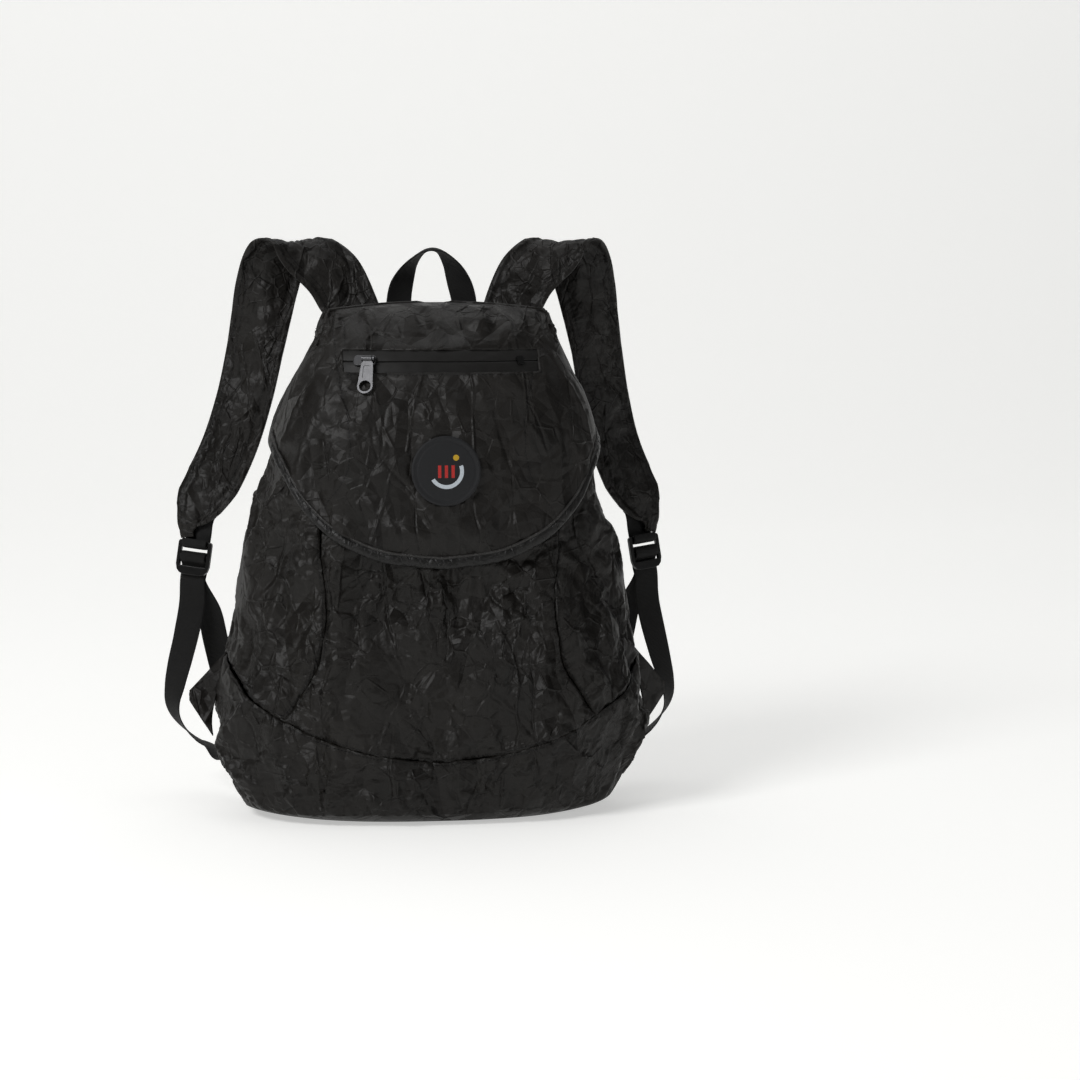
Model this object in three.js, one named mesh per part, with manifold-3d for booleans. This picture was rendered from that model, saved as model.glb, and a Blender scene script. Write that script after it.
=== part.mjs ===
// A packable daypack of thin crinkled cloth, standing full and upright: a round-bottomed bag, a deep
// lid with a zipped pocket and a round badge, two padded shoulder straps and a grab handle.
// Millimetres, +Z up, the front faces -Y, and the middle of the base is on the Z axis.
import * as THREE from "three";
import { mergeVertices } from "three/addons/utils/BufferGeometryUtils.js";
import Module from "manifold-3d";

// Driving sizes of the bag
const bagWidth = 396;
const bagDepth = 190;
const bagHeight = 456;
const clothWall = 1.6;
const seamGap = 0.5;
const layerGap = 0.4;

// Edge tape of the lid
const bindingWidth = 11;
const bindingPuff = 0.9;
const bindingTurn = 120;
const bindingGap = 1.1;

// Zip pocket of the lid
const zipWindowWidth = 172;
const zipWindowHeight = 19;
const zipDrop = 49;
const zipLevel = bagHeight - zipDrop;
const zipTapeMargin = 5;
const zipTapeWall = 1.2;
const tapeGap = 1.1;
const zipCoilWidth = 6;
const zipCoilHeight = 1.5;
const zipCoilSlope = 0.6;
const zipStopLength = 6;
const zipStopInset = 17;
const zipStopWall = 1.4;

// Slider and puller
const sliderInset = 19;
const sliderLength = 19;
const sliderWidth = 9.5;
const sliderWall = 2.6;
const lugWall = 1.8;
const barRadius = 1.15;
const eyeRadius = 3;
const eyeWidth = 7;
const eyeGap = 0.4;
const pullerLength = 33;
const pullerWidth = 13.8;
const pullerNeckWidth = 10.4;
const pullerWall = 2;
const pullerHoleRadius = 5.2;
const pullerPanelDepth = 0.6;
const pullerLean = 7;

// Round badge
const badgeDiameter = 60;
const badgeWall = 1.6;
const badgeDrop = 143;
const badgeLevel = bagHeight - badgeDrop;
const badgeRaise = 1.2;

// Webbing, straps and handle
const webbingWidth = 25;
const webbingWall = 1.4;
const strapWidth = 58;
const strapThickness = 7;
const strapEdge = 1.6;
const keeperWall = 1.4;
const handleWidth = 23;
const handleWall = 1.8;

// Adjusting buckle
const buckleRail = 3.6;
const buckleTop = 15;
const buckleBottom = 17;
const buckleBar = 4;
const buckleDrop = 18.5;
const slotEase = 1.4;

// Side tabs
const tabWall = 2.2;
const tabStandOff = 0.8;
const tabReach = 24;
const tabTipHeight = 9;

const rad = THREE.MathUtils.degToRad;

// A short table: one row for each section, with named columns
function table(columns, rows) {
  return rows.map((row) => Object.fromEntries(columns.map((name, i) => [name, row[i]])));
}

// Cross-sections of the bag. up is a share of bagHeight, wide of half bagWidth, front and back of
// bagDepth (forward and back from the widest line) and lean of bagWidth, to the right.
const bagSections = table(["up", "wide", "front", "back", "lean"], [
  [0.0, 0.49, 0.32, 0.33, -0.007],
  [0.006, 0.68, 0.42, 0.39, -0.007],
  [0.022, 0.81, 0.48, 0.42, -0.007],
  [0.046, 0.87, 0.517, 0.435, -0.007],
  [0.07, 0.912, 0.53, 0.447, -0.005],
  [0.12, 0.966, 0.548, 0.453, -0.005],
  [0.175, 0.99, 0.552, 0.453, -0.003],
  [0.24, 0.965, 0.542, 0.447, -0.002],
  [0.3, 0.93, 0.526, 0.442, 0.0],
  [0.36, 0.904, 0.51, 0.436, 0.0],
  [0.435, 0.858, 0.495, 0.426, 0.002],
  [0.53, 0.806, 0.475, 0.416, 0.003],
  [0.61, 0.758, 0.465, 0.405, 0.004],
  [0.66, 0.735, 0.462, 0.4, 0.005],
  [0.73, 0.705, 0.455, 0.392, 0.006],
  [0.78, 0.677, 0.436, 0.387, 0.008],
  [0.83, 0.63, 0.39, 0.382, 0.01],
  [0.88, 0.567, 0.332, 0.378, 0.011],
  [0.92, 0.52, 0.267, 0.375, 0.012],
  [0.965, 0.49, 0.15, 0.37, 0.013],
]);

// Cross-sections of the lid, in the same shares, down to below its lowest edge
const lidSections = table(["up", "wide", "front", "back", "lean"], [
  [0.47, 0.86, 0.518, 0.43, 0.003],
  [0.57, 0.815, 0.521, 0.42, 0.004],
  [0.65, 0.78, 0.516, 0.412, 0.005],
  [0.727, 0.744, 0.498, 0.403, 0.006],
  [0.775, 0.715, 0.474, 0.398, 0.008],
  [0.82, 0.674, 0.437, 0.393, 0.01],
  [0.867, 0.616, 0.39, 0.389, 0.011],
  [0.912, 0.568, 0.322, 0.386, 0.012],
  [0.943, 0.538, 0.252, 0.385, 0.013],
  [0.967, 0.532, 0.178, 0.382, 0.013],
  [0.984, 0.526, 0.094, 0.362, 0.014],
  [0.995, 0.5, 0.02, 0.318, 0.014],
]);
const lidCrown = { up: 1.0, back: 0.16, lean: 0.014 };

// How square the plan of each half is: 2 is an ellipse
const frontSquareness = 2.4;
const backSquareness = 3.6;

// Height of the lid's edge, as a share of bagHeight, against the turn from the front in degrees
const lidEdgeRows = table(["turn", "up"], [
  [0, 0.499], [15, 0.509], [30, 0.543], [45, 0.605], [60, 0.677], [75, 0.715],
  [90, 0.735], [102, 0.772], [114, 0.852], [125, 0.93], [134, 0.947], [180, 0.947],
]);

// Height of the seam round the bottom panel
const bottomSeamRows = table(["turn", "up"], [
  [0, 0.128], [15, 0.14], [30, 0.171], [45, 0.219], [60, 0.263], [75, 0.298],
  [90, 0.314], [105, 0.3], [120, 0.24], [137, 0.15], [160, 0.13], [180, 0.128],
]);

// Turn of the two front seams and height of the hidden mouth
const frontSeamRows = table(["up", "turn"], [
  [0.2, 43], [0.22, 40.5], [0.25, 38], [0.29, 35], [0.33, 33], [0.38, 32.7],
  [0.45, 34.5], [0.53, 38], [0.66, 42], [0.95, 50],
]);
const mouthRows = table(["turn", "up"], [
  [0, 0.932], [110, 0.932], [128, 0.958], [137, 0.963], [180, 0.963],
]);
const backSeamTurn = 137;

// Folds of the bag's front: turn in degrees and up place the middle, lie is the angle of the fold's
// line from level, length and width are shares of bagWidth, lift a share of bagDepth.
const foldColumns = ["turn", "up", "lie", "length", "width", "lift"];
const bagFolds = table(foldColumns, [
  [-6, 0.4, 96, 0.2, 0.045, 0.03],
  [3, 0.42, 82, 0.17, 0.036, -0.032],
  [12, 0.4, 66, 0.2, 0.045, 0.032],
  [-16, 0.42, 112, 0.15, 0.04, -0.022],
  [21, 0.44, 46, 0.15, 0.04, -0.026],
  [27, 0.33, 38, 0.2, 0.05, 0.03],
  [10, 0.24, 24, 0.2, 0.046, -0.03],
  [-12, 0.25, 150, 0.2, 0.05, 0.03],
  [-26, 0.34, 60, 0.18, 0.046, -0.026],
  [30, 0.18, 28, 0.16, 0.046, 0.026],
  [-34, 0.2, 140, 0.17, 0.05, -0.026],
  [0, 0.13, 4, 0.3, 0.036, -0.018],
  [-60, 0.4, 75, 0.16, 0.05, -0.03],
  [62, 0.38, 105, 0.16, 0.05, -0.03],
  [-78, 0.525, 20, 0.09, 0.055, 0.034],
  [80, 0.53, 160, 0.09, 0.055, 0.034],
  [84, 0.592, 5, 0.1, 0.026, -0.034],
  [-55, 0.22, 20, 0.15, 0.05, 0.026],
  [55, 0.25, 160, 0.15, 0.05, 0.026],
  [180, 0.45, 8, 0.3, 0.06, -0.024],
  [160, 0.3, 60, 0.2, 0.06, 0.02],
  [-158, 0.32, 115, 0.2, 0.06, 0.02],
]);
const lidFolds = table(foldColumns, [
  [0, 0.57, 2, 0.28, 0.036, 0.016],
  [-14, 0.62, 40, 0.14, 0.036, -0.016],
  [16, 0.6, 140, 0.15, 0.036, -0.016],
  [-24, 0.8, 20, 0.16, 0.034, 0.014],
  [20, 0.82, 165, 0.16, 0.034, -0.014],
  [0, 0.84, 3, 0.2, 0.03, 0.012],
  [-50, 0.72, 70, 0.12, 0.036, 0.018],
  [52, 0.72, 110, 0.12, 0.036, 0.018],
  [-42, 0.64, 100, 0.1, 0.03, -0.016],
  [44, 0.66, 80, 0.1, 0.03, -0.016],
]);

// Small gathers where the lid's cloth is drawn into the top seam
const gatherCount = 20;
const gatherHeight = 1.3;
const gatherLow = 0.925;
const gatherFull = 0.97;

// Shoulder strap, from where it is sewn on over the arch to its end. out is the distance from the middle
// as a share of half bagWidth, back a share of bagDepth, up of bagHeight and wide of strapWidth.
// turn and lift, in degrees, point across the strap, away from the middle of the bag.
const strapColumns = ["out", "back", "up", "wide", "full", "turn", "lift"];
const strapRoots = table(["out", "up", "wide", "full", "sunk"], [
  [0.35, 0.951, 0.86, 0.26, 0.9],
  [0.352, 0.967, 0.87, 0.3, 0.9],
]);
const strapRows = table(strapColumns, [
  [0.395, 0.41, 1.006, 0.92, 0.7, -10, -16],
  [0.455, 0.428, 1.053, 0.96, 0.9, -16, -27],
  [0.553, 0.468, 1.09, 0.99, 1.0, -24, -22],
  [0.635, 0.532, 1.112, 1.0, 0.9, -33, 0],
  [0.707, 0.6, 1.088, 1.0, 1.0, -18, 24],
  [0.752, 0.637, 1.03, 1.0, 1.0, 8, 16],
  [0.782, 0.653, 0.965, 1.0, 1.0, 22, 10],
  [0.81, 0.658, 0.9, 1.0, 1.0, 29, 8],
  [0.853, 0.658, 0.803, 0.98, 1.0, 29, 8],
  [0.914, 0.653, 0.706, 0.98, 1.0, 29, 8],
  [0.985, 0.64, 0.634, 0.98, 0.9, 28, 8],
  [1.045, 0.634, 0.592, 0.86, 0.8, 27, 8],
  [1.075, 0.632, 0.568, 0.66, 0.6, 26, 5],
  [1.098, 0.631, 0.548, 0.4, 0.5, 26, 0],
  [1.104, 0.628, 0.532, 0.24, 0.4, 25, 0],
  [1.1, 0.626, 0.518, 0.22, 0.35, 25, 0],
]);
const buckleSeat = { out: 1.058, back: 0.606, up: 0.519, turn: 25, leanOut: 8.5, leanIn: 5 };

// The cloth keeper behind the strap's end: shares as above, narrowing to the webbing's width
const keeperRows = table(["out", "back", "up", "wide", "turn", "behind"], [
  [1.03, 0.634, 0.606, 1.9, 27, 0.84],
  [1.055, 0.631, 0.58, 1.8, 27, 0.74],
  [1.06, 0.621, 0.558, 1.45, 26, 0.58],
  [1.057, 0.616, 0.541, 1.12, 25, 0.56],
]);

// Ways of the keeper and the webbing through the buckle: along is measured up the strap from the
// middle bar and face towards the viewer, both as shares of buckleBar
const keeperThread = table(["along", "face"], [
  [4.1, -1.05], [2.75, -0.95], [2.35, -0.55], [2.15, 0], [2.35, 0.55], [2.75, 0.88], [4.1, 0.88],
]);
const webbingThread = table(["along", "face"], [
  [-5.5, -0.85], [-3.3, -0.85], [-2.4, -0.88], [-1.8, -0.55], [-1.3, 0], [-1.0, 0.55],
  [-0.4, 0.86], [0.25, 0.86], [0.8, 0.57], [1.08, 0], [0.98, -0.65], [0.55, -1.18],
  [-0.3, -1.42], [-2.0, -1.46], [-3.6, -1.5], [-5.5, -1.55],
]);

// Webbing below the buckle: first the sewn run to the bag's corner, then the loose tail
const runRows = table(["out", "back", "up", "turn"], [
  [1.083, 0.6, 0.385, 18],
  [1.11, 0.592, 0.324, 22],
  [1.143, 0.578, 0.265, 30],
  [1.168, 0.56, 0.219, 42],
  [1.178, 0.542, 0.186, 56],
  [1.16, 0.517, 0.157, 70],
  [1.116, 0.486, 0.131, 80],
  [1.062, 0.457, 0.112, 85],
  [1.004, 0.427, 0.1, 96],
]);
const runEnd = { turn: 124, up: 0.094, across: 122 };
const tailRows = table(["out", "back", "up", "turn"], [
  [1.005, 0.642, 0.365, 22],
  [0.975, 0.66, 0.305, 20],
  [0.945, 0.668, 0.25, 16],
  [0.915, 0.664, 0.2, 12],
]);

// Grab handle: out from the middle and up as above, turn swings the webbing's width round
const handleRoots = table(["out", "up", "sunk"], [
  [0.148, 0.951, -0.5], [0.148, 0.966, -0.5],
]);
const handleRows = table(["out", "back", "up", "turn"], [
  [-0.152, 0.4, 0.995, 4],
  [-0.138, 0.415, 1.032, 22],
  [-0.085, 0.424, 1.077, 58],
  [-0.02, 0.428, 1.1, 84],
  [0.035, 0.428, 1.1, 98],
  [0.09, 0.424, 1.076, 124],
  [0.135, 0.415, 1.032, 158],
  [0.152, 0.4, 0.995, 176],
]);
const topLean = 0.018;

// Side tabs: turn and heights of the sewn edge, and the place of the tip
const tabEdge = { turn: 99, low: 0.148, high: 0.318, tipUp: 0.215, tipTurn: 103 };

// Where each grid of points is cut
const frontColumns = 15;
const sideColumns = 8;
const backColumns = 8;
const wallRows = 15;
const rowSpread = 1.3;
const bowlRows = 6;
const lidFrontColumns = 36;
const lidBackColumns = 12;
const lidRows = 10;

// Smooth curve through the rows of a table, without overshoot, at one value of the key column
function follow(rows, key, name, at) {
  const last = rows.length - 1;
  if (at <= rows[0][key]) return rows[0][name];
  if (at >= rows[last][key]) return rows[last][name];
  let i = 0;
  while (rows[i + 1][key] < at) i += 1;
  const slope = (k) => (rows[k + 1][name] - rows[k][name]) / (rows[k + 1][key] - rows[k][key]);
  const tangent = (k) => {
    if (k === 0 || k === last) return slope(Math.min(k, last - 1));
    const before = slope(k - 1);
    const after = slope(k);
    return before * after <= 0 ? 0 : (2 * before * after) / (before + after);
  };
  const span = rows[i + 1][key] - rows[i][key];
  const t = (at - rows[i][key]) / span;
  const blend = t * t * (3 - 2 * t);
  const level = rows[i][name] * (1 - blend) + rows[i + 1][name] * blend;
  return level + span * t * (1 - t) * ((1 - t) * tangent(i) - t * tangent(i + 1));
}

const ramp = (from, to, at) => THREE.MathUtils.smoothstep(at, from, to);
const deg = THREE.MathUtils.radToDeg;

// The turn's distance from the front, in degrees, whichever side it is on
const degrees = (turn) => Math.abs(deg(Math.atan2(Math.sin(turn), Math.cos(turn))));

// Heights of the edges and seams at a turn from the front, in radians
const lidEdge = (turn) => bagHeight * follow(lidEdgeRows, "turn", "up", degrees(turn));
const bottomSeam = (turn) => bagHeight * follow(bottomSeamRows, "turn", "up", degrees(turn));
const mouth = (turn) => bagHeight * follow(mouthRows, "turn", "up", degrees(turn));
const frontSeam = (height) => rad(follow(frontSeamRows, "up", "turn", height / bagHeight));

// A point of the smooth outer form: a superellipse with a rounder front and a flatter back
function hullPoint(sections, turn, height) {
  const up = height / bagHeight;
  const wide = (bagWidth / 2) * follow(sections, "up", "wide", up);
  const forward = Math.cos(turn) > 0;
  const deep = bagDepth * follow(sections, "up", forward ? "front" : "back", up);
  const power = forward ? frontSquareness : backSquareness;
  const sum = Math.abs(Math.cos(turn)) ** power + Math.abs(Math.sin(turn)) ** power;
  const reach = sum ** (-1 / power);
  const middle = bagWidth * follow(sections, "up", "lean", up);
  return new THREE.Vector3(middle + wide * reach * Math.sin(turn), -deep * reach * Math.cos(turn), height);
}

// The direction out of the smooth form, from two short steps on it
function hullNormal(sections, turn, height) {
  const step = 0.02;
  const lowest = bagHeight * sections[0].up;
  const highest = bagHeight * sections[sections.length - 1].up;
  const low = Math.max(lowest, height - 1);
  const high = Math.min(highest, height + 1);
  const across = hullPoint(sections, turn + step, height).sub(hullPoint(sections, turn - step, height));
  const upward = hullPoint(sections, turn, high).sub(hullPoint(sections, turn, low));
  return across.cross(upward).normalize();
}

// Height of the folds at a point: each is a smooth ridge or valley that fades along its line
function foldHeight(folds, turn, height) {
  return folds.reduce((sum, fold) => {
    let swing = turn - rad(fold.turn);
    if (swing > Math.PI) swing -= 2 * Math.PI;
    if (swing < -Math.PI) swing += 2 * Math.PI;
    const across = (swing * bagWidth) / 2;
    const above = height - bagHeight * fold.up;
    const lie = rad(fold.lie);
    const along = across * Math.cos(lie) + above * Math.sin(lie);
    const beside = above * Math.cos(lie) - across * Math.sin(lie);
    const far = (along / (bagWidth * fold.length)) ** 2 + (beside / (bagWidth * fold.width)) ** 2;
    return sum + bagDepth * fold.lift * Math.exp(-far);
  }, 0);
}

// The bag's cloth: its folds fade out at the base and under the lid
function bagPoint(turn, height, inset) {
  const clear = 1 - ramp(lidEdge(turn) - 6, lidEdge(turn) + 20, height);
  const lift = foldHeight(bagFolds, turn, height) * clear * ramp(0, 30, height);
  const out = hullNormal(bagSections, turn, height);
  return hullPoint(bagSections, turn, height).addScaledVector(out, lift - inset);
}

// The lid's cloth: its folds, and gathers towards the top seam
function lidPoint(turn, height, inset) {
  const up = height / bagHeight;
  const gather = gatherHeight * ramp(gatherLow, gatherFull, up) * Math.cos(turn * gatherCount);
  const flatPocket = 1 - Math.exp(-(((height - zipLevel) / zipWindowHeight) ** 2));
  const lift = foldHeight(lidFolds, turn, height) * flatPocket + gather;
  const out = hullNormal(lidSections, turn, height);
  return hullPoint(lidSections, turn, height).addScaledVector(out, lift - inset);
}

// One closed body between an outer and an inner grid of points. Rows run up and columns run round;
// a round grid joins its last column to its first, and points that meet are joined.
function bodyBetween(outer, inner, round) {
  const positions = [];
  const known = new Map();
  const place = (p) => {
    const key = [p.x, p.y, p.z].map((v) => Math.round(v * 1000)).join();
    if (!known.has(key)) {
      known.set(key, positions.length / 3);
      positions.push(p.x, p.y, p.z);
    }
    return known.get(key);
  };
  const out = outer.map((row) => row.map(place));
  const back = inner.map((row) => row.map(place));
  const faces = [];
  const face = (a, b, c) => {
    if (a !== b && b !== c && a !== c) faces.push(a, b, c);
  };
  const quad = (a, b, c, d) => {
    face(a, b, c);
    face(a, c, d);
  };
  const rows = out.length - 1;
  const width = out[0].length;
  const columns = round ? width : width - 1;
  for (let r = 0; r < rows; r += 1) {
    for (let c = 0; c < columns; c += 1) {
      const n = (c + 1) % width;
      if ((r + c) % 2) {
        quad(out[r][c], out[r][n], out[r + 1][n], out[r + 1][c]);
        quad(back[r][n], back[r][c], back[r + 1][c], back[r + 1][n]);
      } else {
        quad(out[r][n], out[r + 1][n], out[r + 1][c], out[r][c]);
        quad(back[r][c], back[r + 1][c], back[r + 1][n], back[r][n]);
      }
    }
  }
  for (let c = 0; c < columns; c += 1) {
    const n = (c + 1) % width;
    quad(out[0][n], out[0][c], back[0][c], back[0][n]);
    quad(out[rows][c], out[rows][n], back[rows][n], back[rows][c]);
  }
  for (let r = 0; r < rows && !round; r += 1) {
    quad(out[r][0], out[r + 1][0], back[r + 1][0], back[r][0]);
    quad(out[r + 1][columns], out[r][columns], back[r][columns], back[r + 1][columns]);
  }
  return geometryOf(positions, faces);
}

function geometryOf(positions, faces) {
  const geometry = new THREE.BufferGeometry();
  geometry.setAttribute("position", new THREE.Float32BufferAttribute(positions, 3));
  geometry.setIndex(faces);
  if (signedVolume(geometry) < 0) {
    for (let i = 0; i < faces.length; i += 3) [faces[i + 1], faces[i + 2]] = [faces[i + 2], faces[i + 1]];
    geometry.setIndex(faces);
  }
  geometry.computeVertexNormals();
  return geometry;
}

function signedVolume(geometry) {
  const corner = geometry.getAttribute("position");
  const index = geometry.getIndex();
  const [a, b, c] = [new THREE.Vector3(), new THREE.Vector3(), new THREE.Vector3()];
  let sum = 0;
  for (let i = 0; i < index.count; i += 3) {
    a.fromBufferAttribute(corner, index.getX(i));
    b.fromBufferAttribute(corner, index.getX(i + 1));
    c.fromBufferAttribute(corner, index.getX(i + 2));
    sum += a.dot(b.cross(c)) / 6;
  }
  return sum;
}

// Grid of points from two counts and a function of the two steps, each 0 to its count
function grid(rows, columns, at) {
  const row = (r) => Array.from({ length: columns + 1 }, (_, c) => at(r, c));
  return Array.from({ length: rows + 1 }, (_, r) => row(r));
}

// Solid joins and cuts
const wasm = await Module();
wasm.setup();

function solidOf(geometry) {
  const bare = geometry.clone();
  bare.deleteAttribute("normal");
  bare.deleteAttribute("uv");
  const merged = mergeVertices(bare, 1e-4);
  const mesh = new wasm.Mesh({
    numProp: 3,
    vertProperties: merged.getAttribute("position").array,
    triVerts: new Uint32Array(merged.getIndex().array),
  });
  return new wasm.Manifold(mesh);
}

function meshOf(solid) {
  const { vertProperties, triVerts } = solid.getMesh();
  return geometryOf(Array.from(vertProperties), Array.from(triVerts));
}

// Finishes of the real object
const cloth = { color: 0x2f2c2a, roughness: 0.62, metalness: 0 };
const webbing = { color: 0x0d0c0b, roughness: 0.8, metalness: 0 };
const plastic = { color: 0x141312, roughness: 0.4, metalness: 0 };
const rubber = { color: 0x242426, roughness: 0.55, metalness: 0 };
const gunmetal = { color: 0x77777a, roughness: 0.35, metalness: 0.9 };
const coil = { color: 0x121112, roughness: 0.6, metalness: 0 };

function piece(name, geometry, finish) {
  const mesh = new THREE.Mesh(geometry, new THREE.MeshStandardMaterial(finish));
  mesh.name = name;
  return mesh;
}

// Panels of the bag. Columns of neighbouring panels meet at the same turns, so the seams match.
function panelTurns(from, to, columns) {
  return Array.from({ length: columns + 1 }, (_, i) => from + ((to - from) * i) / columns);
}

// Turn of a seam on one panel's side, moved away from the seam by half its gap
function beside(turn, height, way) {
  const half = seamGap / 2;
  const step = 0.01;
  const next = hullPoint(bagSections, turn + step, height);
  const span = next.distanceTo(hullPoint(bagSections, turn, height)) / step;
  return turn + (way * half) / span;
}

function rowHeight(turn, r) {
  const low = bottomSeam(turn) + seamGap / 2;
  return low + (mouth(turn) - low) * (r / wallRows) ** rowSpread;
}

// Where a row of points meets a seam whose turn changes with height
function seamTurn(seam, r) {
  let turn = seam(bagHeight / 2);
  for (let pass = 0; pass < 12; pass += 1) turn = seam(rowHeight(turn, r));
  return turn;
}

function upperPanel(leftSeam, rightSeam, columns) {
  const at = (r, c, inset) => {
    const left = seamTurn(leftSeam, r);
    const right = seamTurn(rightSeam, r);
    const from = beside(left, rowHeight(left, r), 1);
    const to = beside(right, rowHeight(right, r), -1);
    const turn = from + ((to - from) * c) / columns;
    return bagPoint(turn, rowHeight(turn, r), inset);
  };
  const outer = grid(wallRows, columns, (r, c) => at(r, c, 0));
  const inner = grid(wallRows, columns, (r, c) => at(r, c, clothWall));
  return bodyBetween(outer, inner, false);
}

const leftFront = (height) => -frontSeam(height);
const leftBack = () => -rad(backSeamTurn);
const rightBack = () => rad(backSeamTurn);
const farBack = () => 2 * Math.PI - rad(backSeamTurn);

function bottomPanel() {
  const front = seamTurn(frontSeam, 0);
  const back = rad(backSeamTurn);
  const turns = [
    ...panelTurns(-back, -front, sideColumns).slice(0, -1),
    ...panelTurns(-front, front, frontColumns).slice(0, -1),
    ...panelTurns(front, back, sideColumns).slice(0, -1),
    ...panelTurns(back, 2 * Math.PI - back, backColumns).slice(0, -1),
  ];
  const flatRings = 2;
  const middle = new THREE.Vector3(bagWidth * bagSections[0].lean, 0, 0);
  const at = (r, turn, inset) => {
    if (r <= flatRings) {
      const edge = hullPoint(bagSections, turn, 0);
      const rim = edge.clone().sub(middle);
      const share = (r / flatRings) * (1 - inset / rim.length());
      return middle.clone().addScaledVector(rim, share).setZ(inset);
    }
    const top = bottomSeam(turn) - seamGap / 2;
    return bagPoint(turn, top * ((r - flatRings) / bowlRows) ** 1.7, inset);
  };
  const outer = grid(flatRings + bowlRows, turns.length - 1, (r, c) => at(r, turns[c], 0));
  const inner = grid(flatRings + bowlRows, turns.length - 1, (r, c) => at(r, turns[c], clothWall));
  return bodyBetween(outer, inner, true);
}

function lidTurns() {
  const half = Math.PI / 2;
  return [
    ...panelTurns(-half, half, lidFrontColumns).slice(0, -1),
    ...panelTurns(half, 3 * half, lidBackColumns).slice(0, -1),
  ];
}

// Height where the lid's cloth starts: above its binding at the front, at its own edge behind
function lidClothEdge(turn) {
  const bound = 1 - ramp(bindingTurn, bindingTurn + 180 / lidBackColumns, degrees(turn));
  return lidEdge(turn) + (bindingWidth + bindingGap) * bound;
}

function lidShell() {
  const turns = lidTurns();
  const crownRings = 2;
  const top = bagHeight * lidSections[lidSections.length - 1].up;
  const crown = new THREE.Vector3(lidCrown.lean, lidCrown.back, lidCrown.up);
  const centre = crown.multiply(new THREE.Vector3(bagWidth, bagDepth, bagHeight));
  const at = (r, turn, inset) => {
    const low = lidClothEdge(turn);
    if (r <= lidRows) return lidPoint(turn, low + (top - low) * (1 - (1 - r / lidRows) ** 1.25), inset);
    const share = 1 - (r - lidRows) / crownRings;
    const rim = lidPoint(turn, top, inset);
    const rise = (centre.z - inset - rim.z) * (1 - share ** 2);
    return new THREE.Vector3().lerpVectors(centre, rim, share).setZ(rim.z + rise);
  };
  const outer = grid(lidRows + crownRings, turns.length - 1, (r, c) => at(r, turns[c], 0));
  const inner = grid(lidRows + crownRings, turns.length - 1, (r, c) => at(r, turns[c], clothWall));
  const shell = solidOf(bodyBetween(outer, inner, true));
  return meshOf(shell.subtract(solidOf(zipWindowCutter())));
}

// A block through the lid's front wall with a rounded outline
function zipWindowCutter() {
  const [w, h] = [zipWindowWidth / 2, zipWindowHeight / 2];
  const outline = new THREE.Shape();
  outline.moveTo(-w, -h);
  outline.lineTo(w, -h);
  outline.lineTo(w, h);
  outline.lineTo(-w, h);
  outline.closePath();
  const block = new THREE.ExtrudeGeometry(outline, plain(bagDepth, 1));
  block.rotateX(Math.PI / 2);
  const middle = zipMiddle();
  block.translate(middle.x, 0, zipLevel);
  return block;
}

// Turn at which the lid's front wall, or with way -1 its back, reaches a place across the bag
function lidTurnAt(across, height, way = 1) {
  const wide = (bagWidth / 2) * follow(lidSections, "up", "wide", height / bagHeight);
  let turn = way > 0 ? 0 : Math.PI;
  for (let pass = 0; pass < 40; pass += 1) {
    const p = hullPoint(lidSections, turn, height);
    turn += (0.8 * way * (across - p.x)) / wide;
  }
  return turn;
}

// Where a band is sewn to the lid's back, and the way along the lid there, away from the middle.
// sunk is how far its inner face lies inside the smooth form, which the flat facets cut short.
function sewnOnLid(side, row, thick) {
  const across = side * row.out * (bagWidth / 2) + bagWidth * topLean;
  const height = row.up * bagHeight;
  const turn = lidTurnAt(across, height, -1);
  const step = 0.02;
  const outward = hullPoint(lidSections, turn - side * step, height);
  outward.sub(hullPoint(lidSections, turn + side * step, height)).normalize();
  return { point: lidPoint(turn, height, row.sunk - thick / 2), across: outward };
}

const zipMiddle = () => hullPoint(lidSections, 0, zipLevel);

function lidBinding() {
  const turns = lidTurns().map((turn) => (turn > Math.PI ? turn - 2 * Math.PI : turn));
  const bound = turns.filter((turn) => degrees(turn) < bindingTurn + 1).sort((a, b) => a - b);
  const columns = bound.length - 1;
  const acrossRows = 2;
  const at = (r, c, inset) => {
    const turn = bound[c];
    const height = lidEdge(turn) + (bindingWidth * r) / acrossRows;
    const round = r === 0 ? 0.5 : 0;
    const outward = inset > 0 ? clothWall + bindingPuff * (1 - round) : -bindingPuff * (1 - round);
    return lidPoint(turn, height, outward);
  };
  const outer = grid(acrossRows, columns, (r, c) => at(r, c, 0));
  const inner = grid(acrossRows, columns, (r, c) => at(r, c, 1));
  return bodyBetween(outer, inner, false);
}

// The tape fills the window from behind, with the coil as a low ridge along its middle
const tapeInset = clothWall + tapeGap;

function zipTape() {
  const columns = 12;
  const half = zipWindowHeight / 2 + zipTapeMargin;
  const ridge = zipCoilWidth / 2;
  const foot = ridge + zipCoilSlope;
  const levels = [-half, -foot, -ridge, 0, ridge, foot, half];
  const raised = [0, 0, 1, 1.15, 1, 0, 0];
  const reach = zipWindowWidth / 2 + zipTapeMargin;
  const middle = zipMiddle();
  const at = (r, c, inset) => {
    const height = zipLevel + levels[r];
    const turn = lidTurnAt(middle.x - reach + (2 * reach * c) / columns, height);
    const inWindow = c > 0 && c < columns ? 1 : 0;
    const lift = inset > 0 ? -zipTapeWall : inWindow * raised[r] * zipCoilHeight;
    return lidPoint(turn, height, tapeInset - lift);
  };
  const outer = grid(levels.length - 1, columns, (r, c) => at(r, c, 0));
  const inner = grid(levels.length - 1, columns, (r, c) => at(r, c, 1));
  return bodyBetween(outer, inner, false);
}

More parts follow.
